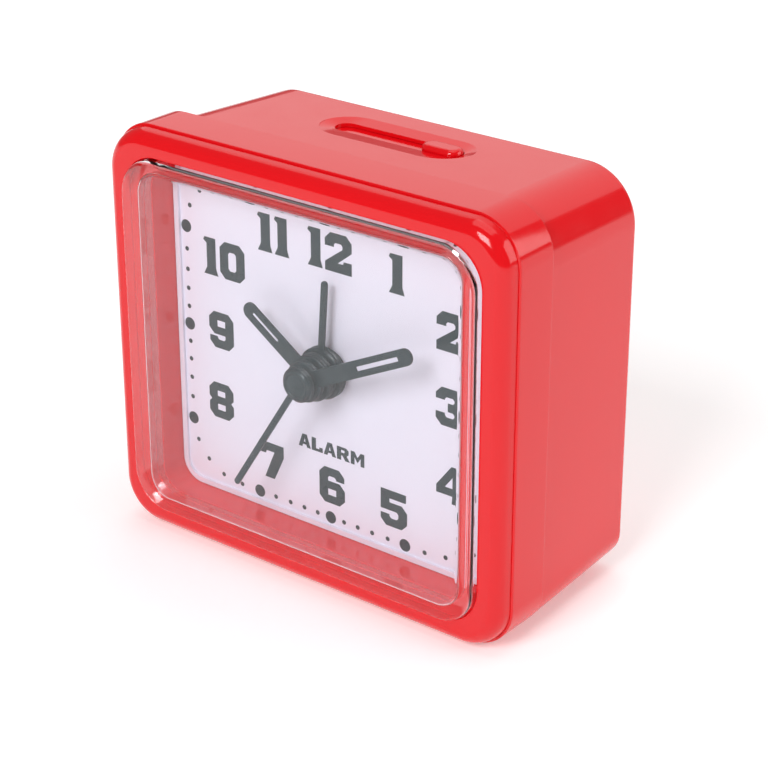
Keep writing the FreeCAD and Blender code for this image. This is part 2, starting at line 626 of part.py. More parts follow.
def hour_wheel():
    wheel = gear(HOUR_MODULE, HOUR_TEETH, HOUR_LEVEL, HOUR_LEVEL + WHEEL_THICK, CENTRE, 0.0)
    pipe = rod(HOUR_R, hand_top(HOUR_HAND), HOUR_LEVEL + WHEEL_THICK)
    bore = rod(HOUR_BORE, hand_top(HOUR_HAND), HOUR_LEVEL + WHEEL_THICK)
    return joined(wheel, pipe).cut(bore)


def cannon_pinion():
    leaves = gear(MOTION_MODULE, CANNON_TEETH, MOTION_LEVEL, MOTION_LEVEL + WHEEL_THICK, CENTRE, 0.0)
    rear = CENTRE_LEVEL + WHEEL_THICK + LIFT
    pipe = rod(MINUTE_R, hand_top(MINUTE_HAND), rear)
    return joined(leaves, pipe).cut(rod(MINUTE_BORE, hand_top(MINUTE_HAND), rear))


def slip_washer():
    """The thin spring washer that drives the minute tube from the centre wheel."""
    y1 = CENTRE_LEVEL - RUN
    return tube(MINUTE_R + TUBE_WALL, MINUTE_R, MOTION_LEVEL + WHEEL_THICK, y1)


MOTION_PHASE = meshing_phase(0.0, CANNON_TEETH, CENTRE, MOTION_TEETH, MOTION_AT)
MOTION_PINION_PHASE = meshing_phase(0.0, HOUR_TEETH, CENTRE, MOTION_PINION_TEETH, MOTION_AT)
TIME_SET_PHASE = meshing_phase(MOTION_PHASE, MOTION_TEETH, MOTION_AT, SETTING_TEETH, TIME_SET_AT)
ALARM_SET_PHASE = meshing_phase(0.0, ALARM_TEETH, CENTRE, ALARM_TEETH, ALARM_SET_AT)
THIRD_PHASE = meshing_phase(0.0, PINION_TEETH, CENTRE, THIRD_TEETH, THIRD_AT)
THIRD_PINION_PHASE = meshing_phase(0.0, CENTRE_TEETH, CENTRE, PINION_TEETH, THIRD_AT)
FIFTH_PINION_PHASE = meshing_phase(0.0, SECOND_TEETH, CENTRE, PINION_TEETH, FIFTH_AT)
ROTOR_PHASE = meshing_phase(0.0, FIFTH_TEETH, FIFTH_AT, PINION_TEETH, ROTOR_AT)


def motion_wheel():
    y1 = MOTION_LEVEL + WHEEL_THICK
    wheel = gear(MOTION_MODULE, MOTION_TEETH, MOTION_LEVEL, y1, MOTION_AT, MOTION_PHASE)
    leaves = gear(HOUR_MODULE, MOTION_PINION_TEETH, HOUR_LEVEL, MOTION_LEVEL, MOTION_AT,
                  MOTION_PINION_PHASE)
    return joined(wheel, leaves).cut(rod(PIVOT_R + 2 * RUN, HOUR_LEVEL, y1, MOTION_AT))


def centre_wheel():
    y1 = CENTRE_LEVEL + WHEEL_THICK
    wheel = gear(CENTRE_MODULE, CENTRE_TEETH, CENTRE_LEVEL, y1, CENTRE, 0.0, 0.8)
    return wheel.cut(rod(MINUTE_R + RUN, CENTRE_LEVEL, y1))


def third_wheel():
    y1 = THIRD_LEVEL + WHEEL_THICK
    wheel = gear(GOING_MODULE, THIRD_TEETH, THIRD_LEVEL, y1, THIRD_AT, THIRD_PHASE, 0.8)
    leaves = gear(CENTRE_MODULE, PINION_TEETH, CENTRE_LEVEL - RUN, THIRD_LEVEL, THIRD_AT,
                  THIRD_PINION_PHASE)
    arbor = rod(PIVOT_R, DIAL_BACK_Y + RUN, BACK_PLATE_Y + BACK_PLATE_THICK, THIRD_AT)
    return joined(wheel, leaves, arbor)


def second_wheel():
    y1 = SECOND_LEVEL + WHEEL_THICK
    wheel = gear(SECOND_MODULE, SECOND_TEETH, SECOND_LEVEL, y1, CENTRE, 0.0, 0.8)
    leaves = gear(GOING_MODULE, PINION_TEETH, THIRD_LEVEL - RUN, SECOND_LEVEL, CENTRE, 0.0)
    arbor = rod(SECOND_R, hand_top(SECOND_HAND) + ARBOR_SOCKET, BACK_PLATE_Y + BACK_PLATE_THICK)
    return joined(wheel, leaves, arbor)


def fifth_wheel():
    y1 = FIFTH_LEVEL + WHEEL_THICK
    wheel = gear(GOING_MODULE, FIFTH_TEETH, FIFTH_LEVEL, y1, FIFTH_AT, 0.0, 0.8)
    leaves = gear(SECOND_MODULE, PINION_TEETH, SECOND_LEVEL - RUN, FIFTH_LEVEL, FIFTH_AT,
                  FIFTH_PINION_PHASE)
    return joined(wheel, leaves).cut(rod(PIVOT_R + RUN, SECOND_LEVEL - RUN, y1, FIFTH_AT))


def rotor_pinion():
    leaves = gear(GOING_MODULE, PINION_TEETH, FIFTH_LEVEL - RUN, MAGNET_LEVEL, ROTOR_AT, ROTOR_PHASE)
    return leaves.cut(rod(PIVOT_R + RUN, FIFTH_LEVEL - RUN, MAGNET_LEVEL, ROTOR_AT))


def rotor_magnet():
    return tube(MAGNET_R, PIVOT_R + RUN, MAGNET_LEVEL, MAGNET_LEVEL + MAGNET_LENGTH, ROTOR_AT)


def setting_arbor(at, level, teeth, phase):
    wheel = gear(MOTION_MODULE, teeth, level, level + WHEEL_THICK, at, phase)
    pivot = rod(ARBOR_PIVOT_R, DIAL_BACK_Y + RUN, PLATE_Y + LIFT, at)
    arbor = rod(ARBOR_R, PLATE_Y + LIFT / 2, BACK_Y + KNOB_PROUD / 2, at)
    return joined(wheel, pivot, arbor)


def setting_knob(at):
    y0, y1 = BACK_Y - KNOB_SEAT, BACK_Y + KNOB_PROUD
    knob = rod(KNOB_R, y0, y1, at)
    rim = [e for e in knob.Edges if e.Closed and e.BoundBox.YMin > y1 - 0.01]
    knob = knob.makeFillet(KNOB_ROUND, rim)
    flutes = []
    for index in range(KNOB_FLUTES):
        spot = polar(KNOB_R + FLUTE_R / 3, 360.0 * index / KNOB_FLUTES, at)
        flutes.append(rod(FLUTE_R, y0, y1, spot))
    knob = knob.cut(Part.makeCompound(flutes))
    return knob.cut(rod(ARBOR_R, y0, BACK_Y + KNOB_PROUD / 2, at))


# ---------------------------------------------------------------- movement frame
def plate_blank(y0, y1):
    return box(-PLATE_HALF_X, PLATE_HALF_X, y0, y1, AXIS_Z - PLATE_BELOW, AXIS_Z + PLATE_ABOVE)


def front_plate():
    plate = plate_blank(DIAL_BACK_Y, PLATE_Y)
    ears = []
    for side in (-1, 1):
        x = side * POST_AT[0]
        ears.append(box(x - EAR_WIDTH / 2, x + EAR_WIDTH / 2, DIAL_BACK_Y, PLATE_Y,
                        AXIS_Z, AXIS_Z + EAR_ABOVE))
    bushing = rod(BUSHING_R, DIAL_Y - 0.4, PLATE_Y)
    pillars = [rod(PILLAR_R, PLATE_Y, BACK_PLATE_Y, at) for at in PILLARS]
    post = rod(PIVOT_R + RUN, PLATE_Y, MOTION_LEVEL + WHEEL_THICK, MOTION_AT)
    plate = joined(plate, bushing, post, *ears, *pillars)
    cuts = [rod(BUSHING_BORE, DIAL_Y - 0.4, PLATE_Y)]
    cuts.append(rod(PIVOT_R + RUN, DIAL_BACK_Y, PLATE_Y, THIRD_AT))
    for at in (TIME_SET_AT, ALARM_SET_AT):
        cuts.append(rod(ARBOR_PIVOT_R + RUN, DIAL_BACK_Y, PLATE_Y, at))
    for side in (-1, 1):
        at = (side * POST_AT[0], POST_AT[1])
        cuts.append(rod(SCREW_R + GAP, DIAL_BACK_Y, PLATE_Y, at))
        cuts.append(rod(SCREW_HEAD_R + GAP, DIAL_BACK_Y, DIAL_BACK_Y + SCREW_HEAD, at))
    for at in PILLARS:
        cuts.append(rod(SCREW_R, BACK_PLATE_Y - SCREW_LENGTH, BACK_PLATE_Y, at))
    return plate.cut(Part.makeCompound(cuts))


def back_plate():
    y0, y1 = BACK_PLATE_Y, BACK_PLATE_Y + BACK_PLATE_THICK
    plate = plate_blank(y0, y1)
    posts = [rod(PIVOT_R, SECOND_LEVEL, y0, FIFTH_AT), rod(PIVOT_R, FIFTH_LEVEL, y0, ROTOR_AT)]
    studs = [rod(PILLAR_R, y1, y1 + BOARD_STUD, at) for at in BOARD_SCREWS]
    plate = joined(plate, *posts, *studs)
    cuts = [rod(SECOND_R + RUN, y0, y1), rod(PIVOT_R + RUN, y0, y1, THIRD_AT)]
    for at in (TIME_SET_AT, ALARM_SET_AT):
        cuts.append(rod(ARBOR_R + RUN, y0, y1, at))
    cuts += [rod(SCREW_R + GAP, y0, y1, at) for at in PILLARS]
    cuts.append(box(CORE_X - COIL_R - LIFT, CORE_X + COIL_R + LIFT, y0, y1,
                    AXIS_Z + COIL_SPAN[0] - LIFT, AXIS_Z + COIL_SPAN[1] + LIFT))
    cuts += [rod(SCREW_R, y0, y1 + BOARD_STUD, at) for at in BOARD_SCREWS]
    return plate.cut(Part.makeCompound(cuts))


def screw(at, head_y, way, length):
    """A pan-head screw; way is the direction of its shank along Y, +1 or -1."""
    head = sorted((head_y, head_y + way * SCREW_HEAD))
    shank = sorted((head_y + way * SCREW_HEAD, head_y + way * length))
    body = joined(rod(SCREW_HEAD_R, head[0], head[1], at), rod(SCREW_R, shank[0], shank[1], at))
    slot = sorted((head_y, head_y + way * SCREW_HEAD / 2))
    z = AXIS_Z + at[1]
    return body.cut(box(at[0] - 1.0, at[0] + 1.0, slot[0], slot[1], z - 0.15, z + 0.15))


def movement_screws():
    head_y = BACK_PLATE_Y + BACK_PLATE_THICK + SCREW_HEAD
    return Part.makeCompound([screw(at, head_y, -1, SCREW_LENGTH) for at in PILLARS])


def mounting_screws():
    spots = [(side * POST_AT[0], POST_AT[1]) for side in (-1, 1)]
    return Part.makeCompound([screw(at, DIAL_BACK_Y, 1, SCREW_LENGTH) for at in spots])


def board_screws():
    y = BACK_PLATE_Y + BACK_PLATE_THICK + BOARD_STUD + BOARD_THICK
    length = SCREW_HEAD + BOARD_THICK + BOARD_STUD + BACK_PLATE_THICK
    return Part.makeCompound([screw(at, y + SCREW_HEAD, -1, length) for at in BOARD_SCREWS])


# ---------------------------------------------------------------- motor and circuit
STATOR_Y = MAGNET_LEVEL + (MAGNET_LENGTH - STATOR_THICK) / 2


def stator():
    y0, y1 = STATOR_Y, STATOR_Y + STATOR_THICK
    x, z = ROTOR_AT

    def bar(x0, x1, z0, z1):
        return box(x0, x1, y0, y1, AXIS_Z + z0, AXIS_Z + z1)

    pole = bar(x - POLE_LEFT, x + POLE_RIGHT, z - POLE_HALF, z + POLE_HALF)
    leg_x = TIME_SET_AT[0] + ARBOR_R + LEG_ROOM
    top = COIL_SPAN[1] + 1.0 + STATOR_BAR
    low, high = z + LOW_BAR[0], z + LOW_BAR[1]
    leg = bar(leg_x, leg_x + STATOR_BAR, z, top)
    low_bar = bar(x, CORE_X + CORE_HALF, low, high)
    high_bar = bar(leg_x, CORE_X + CORE_HALF, top - STATOR_BAR, top)
    core = bar(CORE_X - CORE_HALF, CORE_X + CORE_HALF, low, top)
    plate = joined(pole, leg, low_bar, high_bar, core)
    return plate.cut(rod(MAGNET_R + STATOR_GAP, y0, y1, ROTOR_AT))


def upright(radius, z0, z1):
    middle = Vector(CORE_X, STATOR_Y + STATOR_THICK / 2, AXIS_Z + z0)
    return Part.makeCylinder(radius, z1 - z0, middle)


def coil_bobbin():
    low, high = COIL_SPAN
    flanges = [upright(COIL_R, low, low + BOBBIN_FLANGE), upright(COIL_R, high - BOBBIN_FLANGE, high)]
    body = joined(upright(BOBBIN_R, low, high), *flanges)
    hole = box(CORE_X - CORE_HALF, CORE_X + CORE_HALF, STATOR_Y, STATOR_Y + STATOR_THICK,
               AXIS_Z + low, AXIS_Z + high)
    return body.cut(hole)


def coil_winding():
    low, high = COIL_SPAN[0] + BOBBIN_FLANGE, COIL_SPAN[1] - BOBBIN_FLANGE
    return upright(COIL_R - 2 * GAP, low, high).cut(upright(BOBBIN_R, low, high))


BOARD_Y = BACK_PLATE_Y + BACK_PLATE_THICK + BOARD_STUD


def circuit_board():
    left, right, below, above = BOARD
    board = box(left, right, BOARD_Y, BOARD_Y + BOARD_THICK, AXIS_Z + below, AXIS_Z + above)
    cuts = [rod(ARBOR_R + 6 * GAP, BOARD_Y, BOARD_Y + BOARD_THICK, ALARM_SET_AT)]
    cuts += [rod(SCREW_R + GAP, BOARD_Y, BOARD_Y + BOARD_THICK, at) for at in BOARD_SCREWS]
    cuts.append(rod(BOARD_EYE_R, BOARD_Y, BOARD_Y + BOARD_THICK, CENTRE))
    return board.cut(Part.makeCompound(cuts))


def clock_chip():
    """The domed drop of resin over the chip."""
    y = BOARD_Y + BOARD_THICK
    dome = Part.makeSphere(CHIP_R, Vector(CHIP_AT[0], y - CHIP_SUNK, AXIS_Z + CHIP_AT[1]))
    return dome.common(rod(CHIP_R, y, y + CHIP_R, CHIP_AT))


def quartz_can():
    base = Vector(CAN_AT[0], BOARD_Y + BOARD_THICK + CAN_R, AXIS_Z + CAN_AT[1])
    can = Part.makeCylinder(CAN_R, CAN_LENGTH, base, Vector(0, 0, 1))
    return can.makeFillet(0.3, [e for e in can.Edges if e.Closed])


def capacitor():
    y = BOARD_Y + BOARD_THICK
    return rod(CAPACITOR_R, y, y + CAPACITOR_HEIGHT, CAPACITOR_AT)


def piezo_disc():
    y1 = INNER_BACK_Y - PIEZO_SEAT
    return rod(PIEZO_R, y1 - PIEZO_THICK, y1, (0.0, PIEZO_ABOVE))


# ---------------------------------------------------------------- the assembly
def parts():
    case = rear_case()
    return {
        "front_bezel": front_bezel(),
        "crystal": crystal(),
        "dial": dial(),
        "rear_case": case,
        "battery_door": battery_door(),
        "battery": battery(),
        "battery_plate": battery_plate(),
        "battery_spring": battery_spring(),
        "alarm_slider": alarm_slider(),
        "slider_guide": slider_guide(case),
        "alarm_hand": make_hand(ALARM_HAND, ALARM_R),
        "hour_hand": make_hand(HOUR_HAND, HOUR_R, slit=True),
        "minute_hand": make_hand(MINUTE_HAND, MINUTE_R, slit=True),
        "second_hand": make_hand(SECOND_HAND, 0.0).cut(
            rod(SECOND_R, hand_top(SECOND_HAND) + ARBOR_SOCKET, DIAL_Y)),
        "alarm_wheel": alarm_wheel(),
        "hour_wheel": hour_wheel(),
        "cannon_pinion": cannon_pinion(),
        "slip_washer": slip_washer(),
        "motion_wheel": motion_wheel(),
        "centre_wheel": centre_wheel(),
        "third_wheel": third_wheel(),
        "second_wheel": second_wheel(),
        "fifth_wheel": fifth_wheel(),
        "rotor_pinion": rotor_pinion(),
        "rotor_magnet": rotor_magnet(),
        "time_set_arbor": setting_arbor(TIME_SET_AT, MOTION_LEVEL, SETTING_TEETH, TIME_SET_PHASE),
        "time_set_knob": setting_knob(TIME_SET_AT),
        "alarm_set_arbor": setting_arbor(ALARM_SET_AT, ALARM_LEVEL, ALARM_TEETH, ALARM_SET_PHASE),
        "alarm_set_knob": setting_knob(ALARM_SET_AT),
        "front_plate": front_plate(),
        "back_plate": back_plate(),
        "stator": stator(),
        "coil_bobbin": coil_bobbin(),
        "coil_winding": coil_winding(),
        "circuit_board": circuit_board(),
        "clock_chip": clock_chip(),
        "quartz_can": quartz_can(),
        "capacitor": capacitor(),
        "piezo_disc": piezo_disc(),
        "movement_screws": movement_screws(),
        "mounting_screws": mounting_screws(),
        "board_screws": board_screws(),
    }


os.makedirs("parts", exist_ok=True)
for name, shape in parts().items():
    if not shape.isValid() or shape.Volume <= 0:
        raise ValueError(name + " is not a valid solid")
    shape.exportStep("parts/" + name + ".step")
    print(name, len(shape.Solids), round(shape.Volume, 2))
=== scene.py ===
"""The look of a small red travel alarm clock, built around its fixed frame.

Every operator makes one piece or one group of like pieces. Tables are in millimetres and are
turned to metres where a shape is made; X is to the right, Y to the back and Z up.
"""

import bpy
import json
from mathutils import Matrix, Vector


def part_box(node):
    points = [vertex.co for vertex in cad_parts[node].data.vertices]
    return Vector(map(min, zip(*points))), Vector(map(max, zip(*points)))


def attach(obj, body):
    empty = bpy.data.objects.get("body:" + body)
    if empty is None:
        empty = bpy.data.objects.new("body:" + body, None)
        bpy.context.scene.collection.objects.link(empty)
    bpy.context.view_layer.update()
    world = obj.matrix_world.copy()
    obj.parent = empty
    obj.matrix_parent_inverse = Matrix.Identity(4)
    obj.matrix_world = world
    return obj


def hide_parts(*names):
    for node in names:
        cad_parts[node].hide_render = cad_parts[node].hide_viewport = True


bl_info = {
    "name": "Travel alarm clock",
    "version": (1, 0, 0),
    "blender": (4, 5, 0),
    "location": "View3D > Sidebar > Clock",
    "description": "Shell, crystal, dial print, hands, finishes and studio of a travel alarm clock",
    "category": "Object",
}

import json
import math

import bmesh
import bpy
from bpy.props import FloatProperty, FloatVectorProperty, IntProperty, PointerProperty
from mathutils import Matrix, Vector

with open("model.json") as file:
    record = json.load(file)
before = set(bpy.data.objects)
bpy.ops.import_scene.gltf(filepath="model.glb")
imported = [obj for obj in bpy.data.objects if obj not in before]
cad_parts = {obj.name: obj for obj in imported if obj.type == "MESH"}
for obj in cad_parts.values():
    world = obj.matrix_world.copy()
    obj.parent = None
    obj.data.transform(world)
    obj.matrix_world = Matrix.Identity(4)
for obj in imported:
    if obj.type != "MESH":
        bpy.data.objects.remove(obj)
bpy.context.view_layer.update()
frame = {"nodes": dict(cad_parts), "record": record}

MM = 0.001
NUDGE = 0.05                       # flat rings are set this far apart, so that they bridge well


def node_box(node):
    """Lowest and highest corners of a frame node, in millimetres."""
    low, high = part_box(node)
    return [v / MM for v in low], [v / MM for v in high]


BEZEL_LOW, BEZEL_HIGH = node_box("front_bezel")
CRYSTAL_LOW, CRYSTAL_HIGH = node_box("crystal")
HALF_W = BEZEL_HIGH[0]
HALF_H = (BEZEL_HIGH[2] - BEZEL_LOW[2]) / 2
CENTRE_Z = (BEZEL_HIGH[2] + BEZEL_LOW[2]) / 2
GLASS_Z = (CRYSTAL_HIGH[2] + CRYSTAL_LOW[2]) / 2
HAND_Z = next(joint["pos_m"][2] / MM for joint in frame["record"]["behaviour"]["joints"]
              if joint["name"] == "minute_turn")
FRONT_Y = BEZEL_LOW[1]
SEAM_Y = BEZEL_HIGH[1]
CRYSTAL_Y = CRYSTAL_LOW[1]
LEDGE_Y = CRYSTAL_HIGH[1]
CRYSTAL_HALF = (CRYSTAL_HIGH[0], (CRYSTAL_HIGH[2] - CRYSTAL_LOW[2]) / 2)
DIAL_RIM = 0.4                     # the dial's raised rim stands this far in front of its face
DIAL_Y = node_box("dial")[0][1] + DIAL_RIM

# ---------------------------------------------------------------- shell profile
BEZEL_CORNER = 6.6
BEZEL_BAND = 6.8
BEZEL_WALL = 2.1
ARC_MIDDLE = .29                   # inset of the middle of a quarter round, as a share of its radius
# softened edges of the step behind the nose: inset and Y, from its outer and from its inner edge
STEP_OUTER = ((0, .14), (.04, .04), (.14, 0))
STEP_INNER = ((-.1, -NUDGE), (-.03, -.03), (0, -.1))
NOSE_TURN = 78                     # the nose turns this far towards the front, in degrees
REBATE_GAP = 0.1
REBATE_RIM = .18                   # softened rim of the rebate
REBATE_SUNK = .02                  # rim behind the front plane
CRYSTAL_CORNER = 5.6
CRYSTAL_PLATE = 1.2
CRYSTAL_INNER_ROUND = .5           # between the plate and the skirt, on the inside
WINDOW_HALF = (CRYSTAL_HALF[0] - 2.5, CRYSTAL_HALF[1] - 1.7)
WINDOW_CORNER = 3.4
DIAL_EDGE = 0.9                    # gap and rim between the window and the dial face

# ---------------------------------------------------------------- dial print
DIGITS = {
    "0": [[(.9, 0), (3.5, 0), (4.4, .9), (4.4, 4.4), (3.5, 5.3), (.9, 5.3), (0, 4.4), (0, .9)],
          [(1.8, 1.3), (2.6, 1.3), (2.9, 1.6), (2.9, 3.7), (2.6, 4.0), (1.8, 4.0), (1.5, 3.7),
           (1.5, 1.6)]],
    "1": [[(0, 0), (2.5, 0), (2.15, 1.05), (2.15, 5.3), (.2, 5.3), (0, 4.85), (.55, 4.45), (.55, 1.05)]],
    "2": [[(0, 0), (4.4, 0), (4.4, 1.7), (3.1, 1.7), (3.0, 1.3), (2.1, 1.3), (4.4, 3.1), (4.4, 4.4),
           (3.5, 5.3), (.9, 5.3), (0, 4.4), (0, 3.4), (1.5, 3.4), (1.5, 3.75), (1.75, 4.0), (2.65, 4.0),
           (2.9, 3.75), (2.9, 3.3), (0, 1.2)]],
    "3": [[(.9, 0), (3.5, 0), (4.4, .9), (4.4, 2.2), (3.95, 2.65), (4.4, 3.1), (4.4, 4.4), (3.5, 5.3),
           (.9, 5.3), (0, 4.4), (0, 3.6), (1.45, 3.6), (1.45, 3.8), (1.7, 4.05), (2.7, 4.05), (2.95, 3.8),
           (2.95, 3.5), (2.7, 3.25), (1.9, 3.25), (1.9, 2.05), (2.7, 2.05), (2.95, 1.8), (2.95, 1.5),
           (2.7, 1.25), (1.7, 1.25), (1.45, 1.5), (1.45, 1.8), (0, 1.8), (0, .9)]],
    "4": [[(2.5, 0), (4.2, 0), (4.0, 1.1), (4.6, 1.1), (4.6, 2.2), (4.0, 2.2), (4.0, 5.3), (2.4, 5.3),
           (0, 2.2), (0, 1.1), (2.6, 1.1)], [(1.4, 2.2), (2.6, 2.2), (2.6, 3.8)]],
    "5": [[(.9, 0), (3.5, 0), (4.4, .9), (4.4, 2.6), (3.5, 3.5), (1.45, 3.5), (1.45, 4.1), (4.2, 4.1),
           (4.2, 5.3), (0, 5.3), (0, 2.35), (2.65, 2.35), (2.95, 2.05), (2.95, 1.5), (2.65, 1.2),
           (1.75, 1.2), (1.45, 1.5), (1.45, 1.75), (0, 1.75), (0, .9)]],
    "6": [[(.9, 0), (3.5, 0), (4.4, .9), (4.4, 2.4), (3.5, 3.3), (1.5, 3.3), (1.5, 3.8), (1.75, 4.05),
           (2.65, 4.05), (2.9, 3.8), (2.9, 3.6), (4.3, 3.6), (4.3, 4.4), (3.4, 5.3), (.9, 5.3), (0, 4.4),
           (0, .9)], [(1.5, 1.2), (2.9, 1.2), (2.9, 2.15), (1.5, 2.15)]],
    "7": [[(1, 0), (2.7, 0), (4.4, 3.6), (4.4, 5.3), (0, 5.3), (0, 3.6), (1.2, 3.6), (1.35, 4.05),
           (2.75, 4.05)]],
    "8": [[(.9, 0), (3.5, 0), (4.4, .9), (4.4, 2.2), (3.95, 2.65), (4.4, 3.1), (4.4, 4.4), (3.5, 5.3),
           (.9, 5.3), (0, 4.4), (0, 3.1), (.45, 2.65), (0, 2.2), (0, .9)],
          [(1.5, 1.2), (2.9, 1.2), (2.9, 2.1), (1.5, 2.1)],
          [(1.5, 3.25), (2.9, 3.25), (2.9, 4.1), (1.5, 4.1)]],
}
DIGIT_WIDTH = 4.4
DIGIT_HEIGHT = 5.3
DIGITS["9"] = [[(DIGIT_WIDTH - x, DIGIT_HEIGHT - z) for x, z in loop] for loop in DIGITS["6"]]
DIGIT_GAP = 0.4
NUMBER_AT = {"12": (.3, 16.6), "1": (11.2, 16.1), "2": (19.7, 10.4), "3": (19.7, .1), "4": (20.0, -10.7),
             "5": (10.8, -17.2), "6": (.3, -17.1), "7": (-10.4, -16.6), "8": (-19.3, -10.2),
             "9": (-18.9, .4), "10": (-18.0, 10.9), "11": (-9.2, 16.6)}
LETTERS = {
    "A": [[(0, 0), (1.3, 0), (1.6, 1.1), (2.8, 1.1), (3.1, 0), (4.4, 0), (3.0, 5.3), (1.4, 5.3)],
          [(1.85, 2.1), (2.55, 2.1), (2.2, 3.8)]],
    "L": [[(0, 0), (4, 0), (4, 1.9), (2.8, 1.9), (2.8, 1.1), (1.55, 1.1), (1.55, 5.3), (0, 5.3)]],
    "R": [[(0, 0), (1.5, 0), (1.5, 1.9), (2.0, 1.9), (3.0, 0), (4.6, 0), (3.5, 2.1), (4.2, 2.9), (4.2, 4.4),
           (3.3, 5.3), (0, 5.3)],
          [(1.5, 3.1), (2.5, 3.1), (2.75, 3.35), (2.75, 3.95), (2.5, 4.2), (1.5, 4.2)]],
    "M": [[(0, 0), (1.3, 0), (1.3, 3.2), (2.4, 1.0), (3.5, 3.2), (3.5, 0), (4.8, 0), (4.8, 5.3), (3.5, 5.3),
           (2.4, 3.1), (1.3, 5.3), (0, 5.3)]],
}
WORD_AT = (0.2, -11.7)
DOT_TRACK = (24.7, 21.9)
DOT_CORNER = 8.0
DOT_SIDES = (28, 14)               # sides of a large and of a small dot
DOT_EDGE = 0.12                    # width of a dot's sloping edge, as a share of its radius
TRACK_STEP = 0.01

# ---------------------------------------------------------------- hands
# angle clockwise from twelve, blade length and width, hub radius, gap under the hub, hub height, bore,
# how far the blade lies below the top of the hub, and width of the slit in the blade
HAND_KEYS = ("angle", "length", "width", "hub", "foot", "stack", "bore", "drop", "slit")
HAND_ROWS = {
    "alarm": (4.0, 13.2, 1.0, 3.6, .6, 1.4, 2.3, .05, 0),
    "hour": (-56.0, 13.4, 2.4, 3.2, 2.3, 1.6, 1.8, .05, .6),
    "minute": (64.0, 19.6, 2.3, 2.8, 4.2, 1.2, 1.35, .05, .6),
    "second": (-147.5, 21.0, .9, 2.4, 5.7, 1.2, 0, .45, 0),
}
HANDS = {body: dict(zip(HAND_KEYS, row)) for body, row in HAND_ROWS.items()}
HAND_THICK = 0.35
BLADE_ROOT = 0.9                   # how far the blade starts inside the edge of its hub
TIP_SHARE = 0.98                   # rounding of the tip, as a share of half the blade's width
SLIT = (0.50, 0.88)                # ends of the slit, as shares of the blade length
SLIT_CUT = 2                       # depth of the tool that cuts the slit
RIB_PITCH = 0.6
# one rib of a hub: how far inside the hub's radius, and where, as a share of the pitch
RIB_PROFILE = ((.28, 0), (.28, .08), (.07, .2), (0, .36), (0, .64), (.07, .82), (.28, .97))
BORE_LAND = 0.5                    # flat around the bore
CAP_HEIGHT = 0.3
# the domed cap: how far inside the hub's radius, and how far behind its top
CAP_PROFILE = ((.22, .26), (.32, .10), (.5, .02), (.68, 0), (.78, .05), (.86, .16), (.98, .18),
               (1.3, .11), (1.8, .05), (2.2, .03))

# ---------------------------------------------------------------- finishes
# dark and light tone of each slot that has no colour setting of its own
TONES = {
    "black_plastic": ((.018, .018, .020), (.034, .034, .038)),
    "white_plastic": ((.74, .73, .68), (.82, .81, .76)),
    "brass": ((.70, .50, .20), (.80, .62, .30)),
    "steel": ((.50, .50, .52), (.62, .62, .64)),
    "plated": ((.66, .66, .67), (.76, .76, .76)),
    "magnet": ((.09, .09, .10), (.15, .15, .16)),
    "cell_jacket": ((.06, .11, .24), (.09, .15, .30)),
    "copper": ((.52, .20, .08), (.70, .32, .15)),
    "board": ((.03, .18, .09), (.05, .26, .12)),
    "resin": ((.012, .012, .012), (.026, .026, .026)),
}
DARK_SHARE = .94                   # dark tone of a set colour, as a share of that colour
# roughness low and high, metallic, coat, grain size (mm), grain depth (mm), reflection level
FINISHES = {
    "red_shell": (.09, .15, 0, 0, .35, .0015, .5),
    "dial_face": (.38, .46, 0, .1, .25, .002, .5),
    "hand_black": (.26, .36, 0, .2, .3, .003, .2),
    "black_plastic": (.38, .52, 0, 0, .25, .008, .5),
    "white_plastic": (.34, .46, 0, 0, .3, .004, .5),
    "brass": (.22, .36, 1, 0, .12, .002, .5),
    "steel": (.24, .38, 1, 0, .12, .002, .5),
    "plated": (.14, .24, 1, 0, .2, .001, .5),
    "magnet": (.45, .60, 1, 0, .15, .006, .5),
    "cell_jacket": (.22, .32, 0, .3, .4, .002, .5),
    "copper": (.28, .40, 1, .2, .12, .006, .5),
    "board": (.30, .42, 0, .2, .3, .004, .5),
    "resin": (.22, .34, 0, 0, .5, .006, .5),
}
HAZE_FINER = 3.7                   # gloss drift against tone drift
NOISE_RANGE = (.3, .7)             # part of the noise that the gloss drift uses
BUMP_STRENGTH = .35
COAT_ROUGHNESS = .04
CRYSTAL_TINT = (.98, .985, 1)
CRYSTAL_IOR = 1.45
CRYSTAL_SPECULAR = .12
CRYSTAL_HAZE_SCALE = 90
CRYSTAL_ROUGHNESS = (.005, .03)
CRYSTAL_OPEN = .94                 # share of the light that shadow and diffuse rays let past

# ---------------------------------------------------------------- studio
CAMERA_AT = (170.74, -212.37, 149.16)
CAMERA_YAW = 38.418
CAMERA_PITCH = 24.67
CAMERA_ROLL = 0.062
CAMERA_LENS = 104.5
SENSOR_WIDTH = 36
CLIP_START = .01
WORLD_STRENGTH = .20
FLOOR_SIZE = 8                     # metres
FLOOR_NOISE = 3
FLOOR_DARK_SHARE = .985            # darker patches, as a share of the floor's colour
FLOOR_ROUGHNESS = .7
FLOOR_SPECULAR = .2
FLOOR_GLOW = .25
# name: place, aimed at, width and height of the panel, power, colour
LIGHTS = {
    "overhead_panel": ((-.25, .75, .62), (0, 0, .03), (1.4, .9), 3.2, (1, .985, .975)),
    "sky_panel": ((0, .10, 1.0), (0, 0, .03), (.8, .8), 2.6, (1, 1, 1)),
    "right_panel": ((.85, .55, .45), (0, 0, .03), (.8, .7), 4.5, (1, .99, .98)),
    "front_panel": ((.10, -1.10, .85), (0, 0, .03), (.6, .6), 12.5, (.98, .985, 1)),
}


# ---------------------------------------------------------------- modelling helpers
def deselect():
    bpy.ops.object.select_all(action="DESELECT")


def activate(obj):
    deselect()
    obj.select_set(True)
    bpy.context.view_layer.objects.active = obj
    return obj


